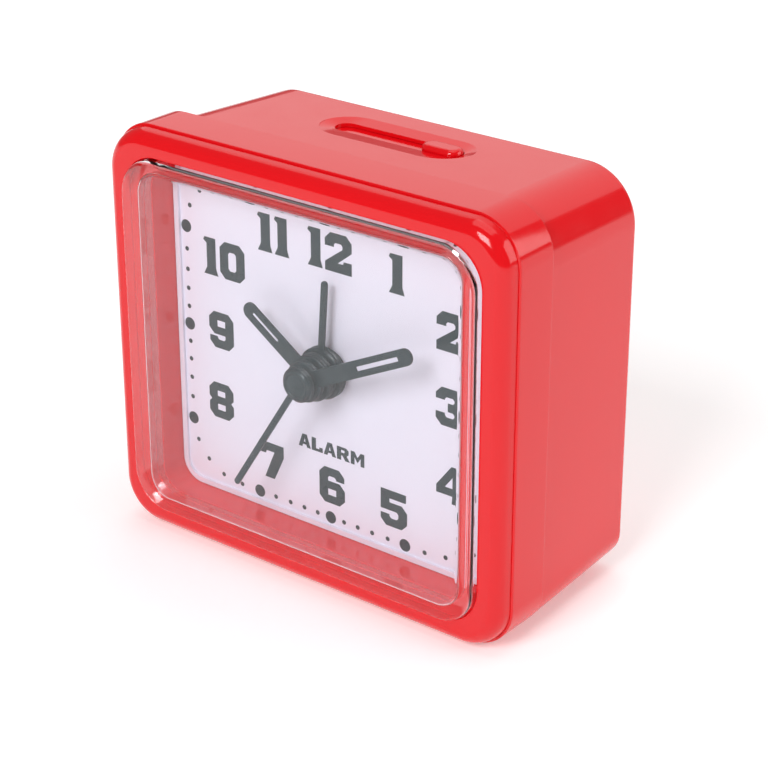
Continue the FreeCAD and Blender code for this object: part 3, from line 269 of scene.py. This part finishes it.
def rounded_ring(half_x, half_z, corner, y, centre_z=CENTRE_Z, steps=14):
    """A rounded rectangle of edges that faces the front."""
    deselect()
    turned = (math.pi / 2, 0, 0)
    bpy.ops.mesh.primitive_plane_add(size=2 * MM, location=(0, y * MM, centre_z * MM), rotation=turned)
    ring = bpy.context.object
    ring.scale = (half_x, half_z, 1)
    bpy.ops.object.transform_apply()
    bpy.ops.object.mode_set(mode="EDIT")
    bpy.ops.mesh.select_all(action="SELECT")
    bpy.ops.mesh.bevel(offset=corner * MM, segments=steps, affect="VERTICES")
    bpy.ops.mesh.select_all(action="SELECT")
    bpy.ops.mesh.delete(type="ONLY_FACE")
    bpy.ops.object.mode_set(mode="OBJECT")
    return ring


def inset_ring(half, corner, inset, y, centre_z=CENTRE_Z):
    """A rounded rectangle drawn in from its outline by an inset."""
    return rounded_ring(half[0] - inset, half[1] - inset, corner - inset, y, centre_z)


def quarter_round(radius, steps=6):
    """Insets and depths along a quarter round, from its side to its front."""
    turns = [math.pi / 2 * index / steps for index in range(steps + 1)]
    return [(radius * (1 - math.cos(turn)), radius * (1 - math.sin(turn))) for turn in turns]


def round_ring(radius, y, steps=64):
    """A circle of edges around the dial axis."""
    deselect()
    bpy.ops.mesh.primitive_circle_add(vertices=steps, radius=radius * MM, rotation=(math.pi / 2, 0, 0),
                                      location=(0, y * MM, HAND_Z * MM))
    bpy.ops.object.transform_apply()
    return bpy.context.object


def loft(name, rings, closed=False):
    """Bridge rings in their order; an open chain is closed by a cap at each end."""
    for index, ring in enumerate(rings):
        order = ring.data.attributes.new("order", "INT", "POINT")
        order.data.foreach_set("value", [index] * len(ring.data.vertices))
    activate(rings[0])
    for ring in rings:
        ring.select_set(True)
    bpy.ops.object.join()
    shape = bpy.context.object
    shape.name = shape.data.name = name
    bpy.ops.object.mode_set(mode="EDIT")
    bpy.ops.mesh.select_mode(type="EDGE")
    steps = [(i, i + 1) for i in range(len(rings) - 1)]
    if closed:
        steps.append((len(rings) - 1, 0))
    for pair in steps:
        pick_rings(shape, pair)
        bpy.ops.mesh.bridge_edge_loops()
    if not closed:
        for end in (0, len(rings) - 1):
            pick_rings(shape, (end,))
            bpy.ops.mesh.edge_face_add()
    bpy.ops.mesh.select_all(action="SELECT")
    bpy.ops.mesh.normals_make_consistent(inside=False)
    bpy.ops.mesh.select_mode(type="VERT")
    bpy.ops.object.mode_set(mode="OBJECT")
    shape.data.attributes.remove(shape.data.attributes["order"])
    return shape


def pick_rings(shape, wanted):
    """Select only the edges that lie in the wanted rings."""
    bpy.ops.mesh.select_all(action="DESELECT")
    mesh = bmesh.from_edit_mesh(shape.data)
    order = mesh.verts.layers.int["order"]
    for edge in mesh.edges:
        first, second = edge.verts
        edge.select_set(first[order] == second[order] and first[order] in wanted)
    bmesh.update_edit_mesh(shape.data)


def soften(shape, angle=32.0):
    """Smooth shading, sharp where faces meet at more than the angle, with even large faces."""
    activate(shape)
    bpy.ops.object.shade_smooth_by_angle(angle=math.radians(angle))
    evened = shape.modifiers.new("even", "WEIGHTED_NORMAL")
    evened.keep_sharp = True
    bpy.ops.object.modifier_apply(modifier=evened.name)
    return shape


def bevelled(shape, width, steps=3, angle=30.0):
    activate(shape)
    edge = shape.modifiers.new("edge", "BEVEL")
    edge.width = width
    edge.segments = steps
    edge.limit_method = "ANGLE"
    edge.angle_limit = math.radians(angle)
    bpy.ops.object.modifier_apply(modifier=edge.name)
    return shape


def cut(shape, tool):
    """Take a tool shape away from a piece and delete the tool."""
    activate(shape)
    taken = shape.modifiers.new("cut", "BOOLEAN")
    taken.operation = "DIFFERENCE"
    taken.solver = "EXACT"
    taken.object = tool
    bpy.ops.object.modifier_apply(modifier=taken.name)
    bpy.data.objects.remove(tool, do_unlink=True)
    return shape


def joined(name, shapes):
    activate(shapes[0])
    for shape in shapes:
        shape.select_set(True)
    bpy.ops.object.join()
    shape = bpy.context.object
    shape.name = shape.data.name = name
    return shape


def finish(slot):
    """The finish made for a material slot; the frame's own materials have the bare slot names."""
    return bpy.data.materials["clock_" + slot]


def clad(shape, slot):
    shape.data.materials.clear()
    shape.data.materials.append(finish(slot))


def fitted(shape, body, slot, *nodes):
    """Give a finished piece its material, its body and the frame nodes it stands for."""
    clad(shape, slot)
    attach(shape, body)
    if nodes:
        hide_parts(*nodes)
    return shape


# ---------------------------------------------------------------- materials
def moulded_group():
    """Shared effect: slow tone drift, gloss drift and a fine moulded or ground surface."""
    group = bpy.data.node_groups.new("moulded_surface", "ShaderNodeTree")
    sockets = group.interface
    sockets.new_socket("Vector", in_out="INPUT", socket_type="NodeSocketVector")
    inputs = (("Drift Scale", 60.0), ("Grain Scale", 3000.0), ("Rough Low", .2), ("Rough High", .3))
    for label, value in inputs:
        sockets.new_socket(label, in_out="INPUT", socket_type="NodeSocketFloat").default_value = value
    for label in ("Tone", "Roughness", "Height"):
        sockets.new_socket(label, in_out="OUTPUT", socket_type="NodeSocketFloat")
    nodes, links = group.nodes, group.links
    given, out = nodes.new("NodeGroupInput"), nodes.new("NodeGroupOutput")
    drift, haze, grain = (nodes.new("ShaderNodeTexNoise") for _ in range(3))
    more = nodes.new("ShaderNodeMath")
    more.operation = "MULTIPLY"
    more.inputs[1].default_value = HAZE_FINER
    spread = nodes.new("ShaderNodeMapRange")
    spread.inputs["From Min"].default_value, spread.inputs["From Max"].default_value = NOISE_RANGE
    for noise, detail in ((drift, 3), (haze, 5), (grain, 4)):
        noise.inputs["Detail"].default_value = detail
        links.new(given.outputs["Vector"], noise.inputs["Vector"])
    links.new(given.outputs["Drift Scale"], drift.inputs["Scale"])
    links.new(given.outputs["Drift Scale"], more.inputs[0])
    links.new(more.outputs[0], haze.inputs["Scale"])
    links.new(given.outputs["Grain Scale"], grain.inputs["Scale"])
    links.new(haze.outputs["Fac"], spread.inputs["Value"])
    links.new(given.outputs["Rough Low"], spread.inputs["To Min"])
    links.new(given.outputs["Rough High"], spread.inputs["To Max"])
    links.new(drift.outputs["Fac"], out.inputs["Tone"])
    links.new(spread.outputs["Result"], out.inputs["Roughness"])
    links.new(grain.outputs["Fac"], out.inputs["Height"])
    return group


def finish_material(slot, dark, light, group):
    """A plastic or metal from the table of finishes, between a dark and a light tone."""
    rough_low, rough_high, metallic, coat, grain, depth, reflection = FINISHES[slot]
    material = bpy.data.materials.new("clock_" + slot)
    material.use_nodes = True
    nodes, links = material.node_tree.nodes, material.node_tree.links
    shader = nodes["Principled BSDF"]
    place = nodes.new("ShaderNodeTexCoord")
    surface = nodes.new("ShaderNodeGroup")
    surface.node_tree = group
    surface.inputs["Grain Scale"].default_value = 1 / (grain * MM)
    surface.inputs["Rough Low"].default_value = rough_low
    surface.inputs["Rough High"].default_value = rough_high
    tone = nodes.new("ShaderNodeMix")
    tone.data_type = "RGBA"
    tone.inputs["A"].default_value = (*dark, 1)
    tone.inputs["B"].default_value = (*light, 1)
    bump = nodes.new("ShaderNodeBump")
    bump.inputs["Strength"].default_value = BUMP_STRENGTH
    bump.inputs["Distance"].default_value = depth * MM
    links.new(place.outputs["Object"], surface.inputs["Vector"])
    links.new(surface.outputs["Tone"], tone.inputs["Factor"])
    links.new(tone.outputs["Result"], shader.inputs["Base Color"])
    links.new(surface.outputs["Roughness"], shader.inputs["Roughness"])
    links.new(surface.outputs["Height"], bump.inputs["Height"])
    links.new(bump.outputs["Normal"], shader.inputs["Normal"])
    shader.inputs["Metallic"].default_value = metallic
    shader.inputs["Specular IOR Level"].default_value = reflection
    shader.inputs["Coat Weight"].default_value = coat
    shader.inputs["Coat Roughness"].default_value = COAT_ROUGHNESS
    return material


def clear_material():
    """Clear moulded plastic that lets light through to the dial."""
    material = bpy.data.materials.new("clock_clear")
    material.use_nodes = True
    nodes, links = material.node_tree.nodes, material.node_tree.links
    shader = nodes["Principled BSDF"]
    shader.inputs["Base Color"].default_value = (*CRYSTAL_TINT, 1)
    shader.inputs["Transmission Weight"].default_value = 1
    shader.inputs["IOR"].default_value = CRYSTAL_IOR
    shader.inputs["Specular IOR Level"].default_value = CRYSTAL_SPECULAR
    place = nodes.new("ShaderNodeTexCoord")
    haze = nodes.new("ShaderNodeTexNoise")
    haze.inputs["Scale"].default_value = CRYSTAL_HAZE_SCALE
    haze.inputs["Detail"].default_value = 4
    spread = nodes.new("ShaderNodeMapRange")
    spread.inputs["To Min"].default_value, spread.inputs["To Max"].default_value = CRYSTAL_ROUGHNESS
    links.new(place.outputs["Object"], haze.inputs["Vector"])
    links.new(haze.outputs["Fac"], spread.inputs["Value"])
    links.new(spread.outputs["Result"], shader.inputs["Roughness"])
    ray = nodes.new("ShaderNodeLightPath")
    either = nodes.new("ShaderNodeMath")
    either.operation = "MAXIMUM"
    keep = nodes.new("ShaderNodeMath")
    keep.operation = "MULTIPLY_ADD"
    keep.inputs[1].default_value = -CRYSTAL_OPEN
    keep.inputs[2].default_value = 1
    links.new(ray.outputs["Is Shadow Ray"], either.inputs[0])
    links.new(ray.outputs["Is Diffuse Ray"], either.inputs[1])
    links.new(either.outputs[0], keep.inputs[0])
    links.new(keep.outputs[0], shader.inputs["Alpha"])
    return material


# ---------------------------------------------------------------- settings
def length(name, description, default):
    return FloatProperty(name=name, description=description, default=default, unit="LENGTH",
                         subtype="DISTANCE", min=0.0, precision=5)


def colour(name, description, default):
    return FloatVectorProperty(name=name, description=description, default=default, size=3,
                               subtype="COLOR", min=0.0, max=1.0)


class ClockSizes(bpy.types.PropertyGroup):
    nose_round: length("Nose rounding", "Rounding between the bezel's side and its front rim", .0022)
    nose_step: length("Nose step", "Step from the straight band in to the rounded nose", .00035)
    nose_draft: length("Nose draft", "How much smaller the front outline is, each side", .0007)
    seam_round: length("Seam rounding", "Softened edge where the bezel meets the case", .00025)
    crystal_round: length("Crystal rounding", "Rounded outer edge of the crystal", .0007)
    blade_edge: length("Hand edge", "Bevel along the edges of the hands", .00006)
    ink: length("Ink thickness", "How far the dial print stands on the dial", .00003)
    large_dot: length("Large dot", "Radius of the dial dot at each hour", .0009)
    small_dot: length("Small dot", "Radius of the dial dots at the minutes", .00034)
    word_width: length("Word width", "Width of the word on the dial", .0113)
    word_height: length("Word height", "Height of the word on the dial", .0019)
    nose_steps: IntProperty(name="Nose steps", description="Rings of faces around the bezel's nose",
                            default=10, min=3, max=24)


class ClockColours(bpy.types.PropertyGroup):
    shell: colour("Shell", "Colour of the moulded shell", (.76, .002, .006))
    dial: colour("Dial", "Colour of the dial face", (.79, .77, .88))
    print_black: colour("Hands", "Colour of the hands and the print", (.008, .023, .028))
    floor: colour("Floor", "Colour of the studio floor", (.90, .90, .90))


def sizes():
    return bpy.context.scene.clock_sizes


def colours():
    return bpy.context.scene.clock_colours


# ---------------------------------------------------------------- operators
class CLOCK_OT_finishes(bpy.types.Operator):
    """Make every material and put it on the frame's own nodes"""
    bl_idname = "clock.finishes"
    bl_label = "Finishes"

    def execute(self, context):
        group = moulded_group()
        tones = dict(TONES)
        for slot, light in (("red_shell", colours().shell), ("dial_face", colours().dial),
                            ("hand_black", colours().print_black)):
            tones[slot] = (tuple(v * DARK_SHARE for v in light), tuple(light))
        for slot in FINISHES:
            finish_material(slot, *tones[slot], group)
        clear_material()
        for part in frame["record"]["subparts"]:
            node = frame["nodes"][part["node"]]
            for holder in node.material_slots:
                holder.material = finish(part["material_slot"])
        return {"FINISHED"}


class CLOCK_OT_bezel(bpy.types.Operator):
    """Front bezel: straight band, stepped rounded nose, crystal rebate, window and pocket"""
    bl_idname = "clock.bezel"
    bl_label = "Bezel"

    def execute(self, context):
        size = sizes()
        nose = size.nose_round / MM
        step, draft, seam = size.nose_step / MM, size.nose_draft / MM, size.seam_round / MM
        step_y = SEAM_Y - BEZEL_BAND
        lean = math.atan((draft - step) / (step_y - FRONT_Y))
        middle_in = draft + nose * math.tan((math.pi / 2 - lean) / 2)
        middle_y = FRONT_Y + nose
        profile = [(seam, SEAM_Y), (seam * ARC_MIDDLE, SEAM_Y - seam * ARC_MIDDLE), (0, SEAM_Y - seam)]
        profile += [(inset, step_y + y) for inset, y in STEP_OUTER]
        profile += [(step + inset, step_y + y) for inset, y in STEP_INNER]
        last = math.radians(NOSE_TURN)
        for index in range(size.nose_steps + 1):
            turn = lean + (last - lean) * index / size.nose_steps
            profile.append((middle_in - nose * math.cos(turn), middle_y - nose * math.sin(turn)))
        rings = [inset_ring((HALF_W, HALF_H), BEZEL_CORNER, inset, y) for inset, y in profile]
        rebate = (CRYSTAL_HALF[0] + REBATE_GAP, CRYSTAL_HALF[1] + REBATE_GAP)
        rim_y = FRONT_Y + REBATE_SUNK
        for inset, y in ((-REBATE_RIM, rim_y), (-REBATE_RIM * .3, rim_y + REBATE_RIM * .3),
                         (0, rim_y + REBATE_RIM), (0, LEDGE_Y)):
            rings.append(inset_ring(rebate, CRYSTAL_CORNER, inset, y, GLASS_Z))
        for y in (LEDGE_Y + NUDGE, DIAL_Y):
            rings.append(rounded_ring(*WINDOW_HALF, WINDOW_CORNER, y, GLASS_Z))
        pocket = (HALF_W - BEZEL_WALL, HALF_H - BEZEL_WALL)
        for y in (DIAL_Y + NUDGE, SEAM_Y - NUDGE):
            rings.append(rounded_ring(*pocket, BEZEL_CORNER - BEZEL_WALL, y))
        fitted(soften(loft("bezel_shell", rings, closed=True)), "case", "red_shell", "front_bezel")
        return {"FINISHED"}


class CLOCK_OT_crystal(bpy.types.Operator):
    """Clear crystal: a raised plate with a rounded edge and a skirt down to its ledge"""
    bl_idname = "clock.crystal"
    bl_label = "Crystal"

    def execute(self, context):
        inner_y = CRYSTAL_Y + CRYSTAL_PLATE
        rings = []
        for inset, depth in reversed(quarter_round(CRYSTAL_INNER_ROUND)):
            rings.append(inset_ring(WINDOW_HALF, WINDOW_CORNER, inset, inner_y + depth, GLASS_Z))
        rings.append(rounded_ring(*WINDOW_HALF, WINDOW_CORNER, LEDGE_Y - NUDGE, GLASS_Z))
        rings.append(rounded_ring(*CRYSTAL_HALF, CRYSTAL_CORNER, LEDGE_Y, GLASS_Z))
        for inset, depth in quarter_round(sizes().crystal_round / MM):
            rings.append(inset_ring(CRYSTAL_HALF, CRYSTAL_CORNER, inset, CRYSTAL_Y + depth, GLASS_Z))
        fitted(soften(loft("crystal_lens", rings)), "case", "clear", "crystal")
        return {"FINISHED"}


def figure_loops(text):
    """Outlines of a number or a word, centred on its own middle."""
    loops, x = [], 0.0
    for sign in text:
        shape = (DIGITS | LETTERS)[sign]
        loops += [[(x + px, pz) for px, pz in loop] for loop in shape]
        x += max(px for px, _ in shape[0]) + DIGIT_GAP
    middle = (x - DIGIT_GAP) / 2
    return [[(px - middle, pz - DIGIT_HEIGHT / 2) for px, pz in loop] for loop in loops]


def laid_on_dial(shape, at, ink):
    """Stand a flat mesh up on the dial face, its middle at a place from the centre."""
    activate(shape)
    shape.rotation_euler = (math.pi / 2, 0, 0)
    shape.location = (at[0] * MM, DIAL_Y * MM - ink / 2, (HAND_Z + at[1]) * MM)
    bpy.ops.object.transform_apply()
    return shape


def printed(text, at, ink, across=1.0, up=1.0):
    """Block figures as a thin print on the dial, scaled along X and Z."""
    flat = bpy.data.curves.new("print", "CURVE")
    flat.dimensions = "2D"
    flat.fill_mode = "BOTH"
    flat.extrude = ink / 2
    for loop in figure_loops(text):
        line = flat.splines.new("POLY")
        line.points.add(len(loop) - 1)
        for point, (x, z) in zip(line.points, loop):
            point.co = (x * across * MM, z * up * MM, 0, 1)
        line.use_cyclic_u = True
    shape = bpy.data.objects.new("print", flat)
    bpy.context.collection.objects.link(shape)
    activate(shape)
    bpy.ops.object.convert(target="MESH")
    return laid_on_dial(bpy.context.object, at, ink)


class CLOCK_OT_numbers(bpy.types.Operator):
    """Hour numbers in block figures, printed on the dial"""
    bl_idname = "clock.numbers"
    bl_label = "Numbers"

    def execute(self, context):
        made = [printed(text, at, sizes().ink) for text, at in NUMBER_AT.items()]
        fitted(joined("dial_numbers", made), "case", "hand_black")
        return {"FINISHED"}


class CLOCK_OT_word(bpy.types.Operator):
    """The word on the lower half of the dial"""
    bl_idname = "clock.word"
    bl_label = "Word"

    def execute(self, context):
        size = sizes()
        reach = max(x for loop in figure_loops("ALARM") for x, _ in loop)
        across = size.word_width / MM / (2 * reach)
        word = printed("ALARM", WORD_AT, size.ink, across, size.word_height / MM / DIGIT_HEIGHT)
        word.name = word.data.name = "dial_word"
        fitted(word, "case", "hand_black")
        return {"FINISHED"}


def track_point(bearing):
    """Where a line from the centre meets the rounded track of the dots."""
    x, z = math.sin(bearing), math.cos(bearing)
    reach = 0.0
    while True:
        beyond = [max(abs(v) * reach - (half - DOT_CORNER), 0) for v, half in zip((x, z), DOT_TRACK)]
        if math.hypot(*beyond) >= DOT_CORNER:
            return x * reach, z * reach
        reach += TRACK_STEP


class CLOCK_OT_dots(bpy.types.Operator):
    """Minute dots around the dial, larger at the hours; any that the bezel would cover are left out"""
    bl_idname = "clock.dots"
    bl_label = "Dots"

    def execute(self, context):
        size = sizes()
        models, made = {}, []
        for radius, sides in zip((size.large_dot, size.small_dot), DOT_SIDES):
            deselect()
            bpy.ops.mesh.primitive_circle_add(vertices=sides, radius=radius, fill_type="NGON")
            dot = bpy.context.object
            bpy.ops.object.mode_set(mode="EDIT")
            bpy.ops.mesh.select_all(action="SELECT")
            bpy.ops.mesh.extrude_region_move(TRANSFORM_OT_translate={"value": (0, 0, size.ink / 2)})
            bpy.ops.mesh.inset(thickness=radius * DOT_EDGE, depth=size.ink / 2)
            bpy.ops.object.mode_set(mode="OBJECT")
            models[radius] = dot
        hidden_z = GLASS_Z + WINDOW_HALF[1] - DIAL_EDGE - size.large_dot / MM
        for minute in range(60):
            at = track_point(math.radians(6 * minute))
            if HAND_Z + at[1] > hidden_z:
                continue
            model = models[size.small_dot if minute % 5 else size.large_dot]
            dot = model.copy()
            dot.data = model.data.copy()
            context.collection.objects.link(dot)
            made.append(laid_on_dial(dot, at, 0))
        for model in models.values():
            bpy.data.objects.remove(model, do_unlink=True)
        fitted(joined("dial_dots", made), "case", "hand_black")
        return {"FINISHED"}


def hub_rings(hand):
    """Ribbed hub of a hand; without a bore it ends in a domed cap."""
    radius, bore = hand["hub"], hand["bore"]
    rear = DIAL_Y - hand["foot"]
    top = rear - hand["stack"]
    ribs = max(2, round(hand["stack"] / RIB_PITCH))
    pitch = (hand["stack"] - (0 if bore else CAP_HEIGHT)) / ribs
    profile = []
    for index in range(ribs):
        y = rear - index * pitch
        profile += [(radius - inset, y - share * pitch) for inset, share in RIB_PROFILE]
    if bore:
        profile += [(bore + BORE_LAND, top), (bore, top + NUDGE)]
        rings = [round_ring(r, y) for r, y in [(bore, rear - NUDGE)] + profile]
        return loft("hub", rings, closed=True)
    profile += [(radius - inset, top + depth) for inset, depth in CAP_PROFILE]
    return loft("hub", [round_ring(r, y) for r, y in profile])


def hand_blade(hand):
    """Flat blade with a round tip, pointing at twelve, with a slit if the hand has one."""
    half = hand["width"] / 2
    start = hand["hub"] - BLADE_ROOT
    y0 = DIAL_Y - hand["foot"] - hand["stack"] + hand["drop"]
    reach = hand["length"]
    deselect()
    bpy.ops.mesh.primitive_cube_add(size=MM, location=(0, (y0 + HAND_THICK / 2) * MM,
                                                      (HAND_Z + (start + reach) / 2) * MM))
    blade = bpy.context.object
    blade.scale = (hand["width"], HAND_THICK, reach - start)
    bpy.ops.object.transform_apply()
    bpy.ops.object.mode_set(mode="EDIT")
    bpy.ops.mesh.select_mode(type="EDGE")
    bpy.ops.mesh.select_all(action="DESELECT")
    mesh = bmesh.from_edit_mesh(blade.data)
    for edge in mesh.edges:
        first, second = (v.co for v in edge.verts)
        if abs(first.y - second.y) > HAND_THICK / 2 * MM and first.z > (HAND_Z + reach / 2) * MM:
            edge.select_set(True)
    bmesh.update_edit_mesh(blade.data)
    bpy.ops.mesh.bevel(offset=half * TIP_SHARE * MM, segments=8)
    bpy.ops.mesh.select_mode(type="VERT")
    bpy.ops.object.mode_set(mode="OBJECT")
    if hand["slit"]:
        low, high = (HAND_Z + share * reach for share in SLIT)
        deselect()
        bpy.ops.mesh.primitive_cube_add(size=MM, location=(0, y0 * MM, (low + high) / 2 * MM))
        tool = bpy.context.object
        tool.scale = (hand["slit"], SLIT_CUT, high - low)
        bpy.ops.object.transform_apply()
        cut(blade, tool)
    return bevelled(blade, sizes().blade_edge, 2, 50)


class CLOCK_OT_hands(bpy.types.Operator):
    """Alarm, hour, minute and second hands, each with its ribbed hub"""
    bl_idname = "clock.hands"
    bl_label = "Hands"

    def execute(self, context):
        for body, hand in HANDS.items():
            shape = joined(body + "_pointer", [hub_rings(hand), hand_blade(hand)])
            centre = Vector((0, 0, HAND_Z * MM))
            turn = Matrix.Rotation(math.radians(hand["angle"]), 4, "Y")
            shape.matrix_world = Matrix.Translation(centre) @ turn @ Matrix.Translation(-centre)
            activate(shape)
            bpy.ops.object.transform_apply()
            fitted(soften(shape, 40), body, "hand_black", body + "_hand")
        return {"FINISHED"}


class CLOCK_OT_studio(bpy.types.Operator):
    """Pale floor, soft panels of light and the camera"""
    bl_idname = "clock.studio"
    bl_label = "Studio"

    def execute(self, context):
        scene = context.scene
        deselect()
        bpy.ops.mesh.primitive_plane_add(size=FLOOR_SIZE)
        floor = bpy.context.object
        floor.name = "studio_floor"
        material = bpy.data.materials.new("studio_floor")
        material.use_nodes = True
        nodes, links = material.node_tree.nodes, material.node_tree.links
        shader = nodes["Principled BSDF"]
        noise = nodes.new("ShaderNodeTexNoise")
        noise.inputs["Scale"].default_value = FLOOR_NOISE
        tone = nodes.new("ShaderNodeMix")
        tone.data_type = "RGBA"
        light = colours().floor
        tone.inputs["A"].default_value = (*(v * FLOOR_DARK_SHARE for v in light), 1)
        tone.inputs["B"].default_value = (*light, 1)
        links.new(noise.outputs["Fac"], tone.inputs["Factor"])
        links.new(tone.outputs["Result"], shader.inputs["Base Color"])
        shader.inputs["Roughness"].default_value = FLOOR_ROUGHNESS
        shader.inputs["Emission Color"].default_value = (1, 1, 1, 1)
        shader.inputs["Emission Strength"].default_value = FLOOR_GLOW
        shader.inputs["Specular IOR Level"].default_value = FLOOR_SPECULAR
        floor.data.materials.append(material)

        world = bpy.data.worlds.new("studio")
        world.use_nodes = True
        back = world.node_tree.nodes["Background"]
        back.inputs["Color"].default_value = (1, 1, 1, 1)
        back.inputs["Strength"].default_value = WORLD_STRENGTH
        scene.world = world
        scene.view_settings.view_transform = "Standard"

        for name, (at, target, size, power, tint) in LIGHTS.items():
            panel = bpy.data.lights.new(name, "AREA")
            panel.shape = "RECTANGLE"
            panel.size, panel.size_y = size
            panel.energy = power
            panel.color = tint
            lamp = bpy.data.objects.new(name, panel)
            context.collection.objects.link(lamp)
            lamp.location = at
            aim = Vector(target) - Vector(at)
            lamp.rotation_euler = aim.to_track_quat("-Z", "Y").to_euler()

        yaw, pitch, roll = (math.radians(v) for v in (CAMERA_YAW, CAMERA_PITCH, CAMERA_ROLL))
        level = math.cos(pitch)
        ahead = Vector((-math.sin(yaw) * level, math.cos(yaw) * level, -math.sin(pitch)))
        right = Vector((math.cos(yaw), math.sin(yaw), 0))
        down = ahead.cross(right)
        across = right * math.cos(roll) + down * math.sin(roll)
        upward = right * math.sin(roll) - down * math.cos(roll)
        view = bpy.data.cameras.new("camera")
        view.lens = CAMERA_LENS
        view.sensor_width = SENSOR_WIDTH
        view.clip_start = CLIP_START
        camera = bpy.data.objects.new("camera", view)
        context.collection.objects.link(camera)
        turned = Matrix((across, upward, -ahead)).transposed().to_4x4()
        camera.matrix_world = Matrix.Translation(Vector(CAMERA_AT) * MM) @ turned
        scene.camera = camera
        return {"FINISHED"}


class CLOCK_PT_panel(bpy.types.Panel):
    """Sizes, colours and steps of the clock"""
    bl_idname = "CLOCK_PT_panel"
    bl_label = "Travel alarm clock"
    bl_space_type = "VIEW_3D"
    bl_region_type = "UI"
    bl_category = "Clock"

    def draw(self, context):
        for group in (context.scene.clock_sizes, context.scene.clock_colours):
            box = self.layout.box()
            for name in group.__annotations__:
                box.prop(group, name)
        column = self.layout.column()
        for step in STEPS:
            column.operator(step.bl_idname)


STEPS = (CLOCK_OT_finishes, CLOCK_OT_bezel, CLOCK_OT_crystal, CLOCK_OT_numbers, CLOCK_OT_word,
         CLOCK_OT_dots, CLOCK_OT_hands, CLOCK_OT_studio)
CLASSES = (ClockSizes, ClockColours, *STEPS, CLOCK_PT_panel)


def register():
    for kind in CLASSES:
        bpy.utils.register_class(kind)
    bpy.types.Scene.clock_sizes = PointerProperty(type=ClockSizes)
    bpy.types.Scene.clock_colours = PointerProperty(type=ClockColours)


def unregister():
    del bpy.types.Scene.clock_colours
    del bpy.types.Scene.clock_sizes
    for kind in reversed(CLASSES):
        bpy.utils.unregister_class(kind)


def main():
    register()
    bpy.ops.clock.finishes()
    bpy.ops.clock.bezel()
    bpy.ops.clock.crystal()
    bpy.ops.clock.numbers()
    bpy.ops.clock.word()
    bpy.ops.clock.dots()
    bpy.ops.clock.hands()
    bpy.ops.clock.studio()


if __name__ == "__main__":
    main()
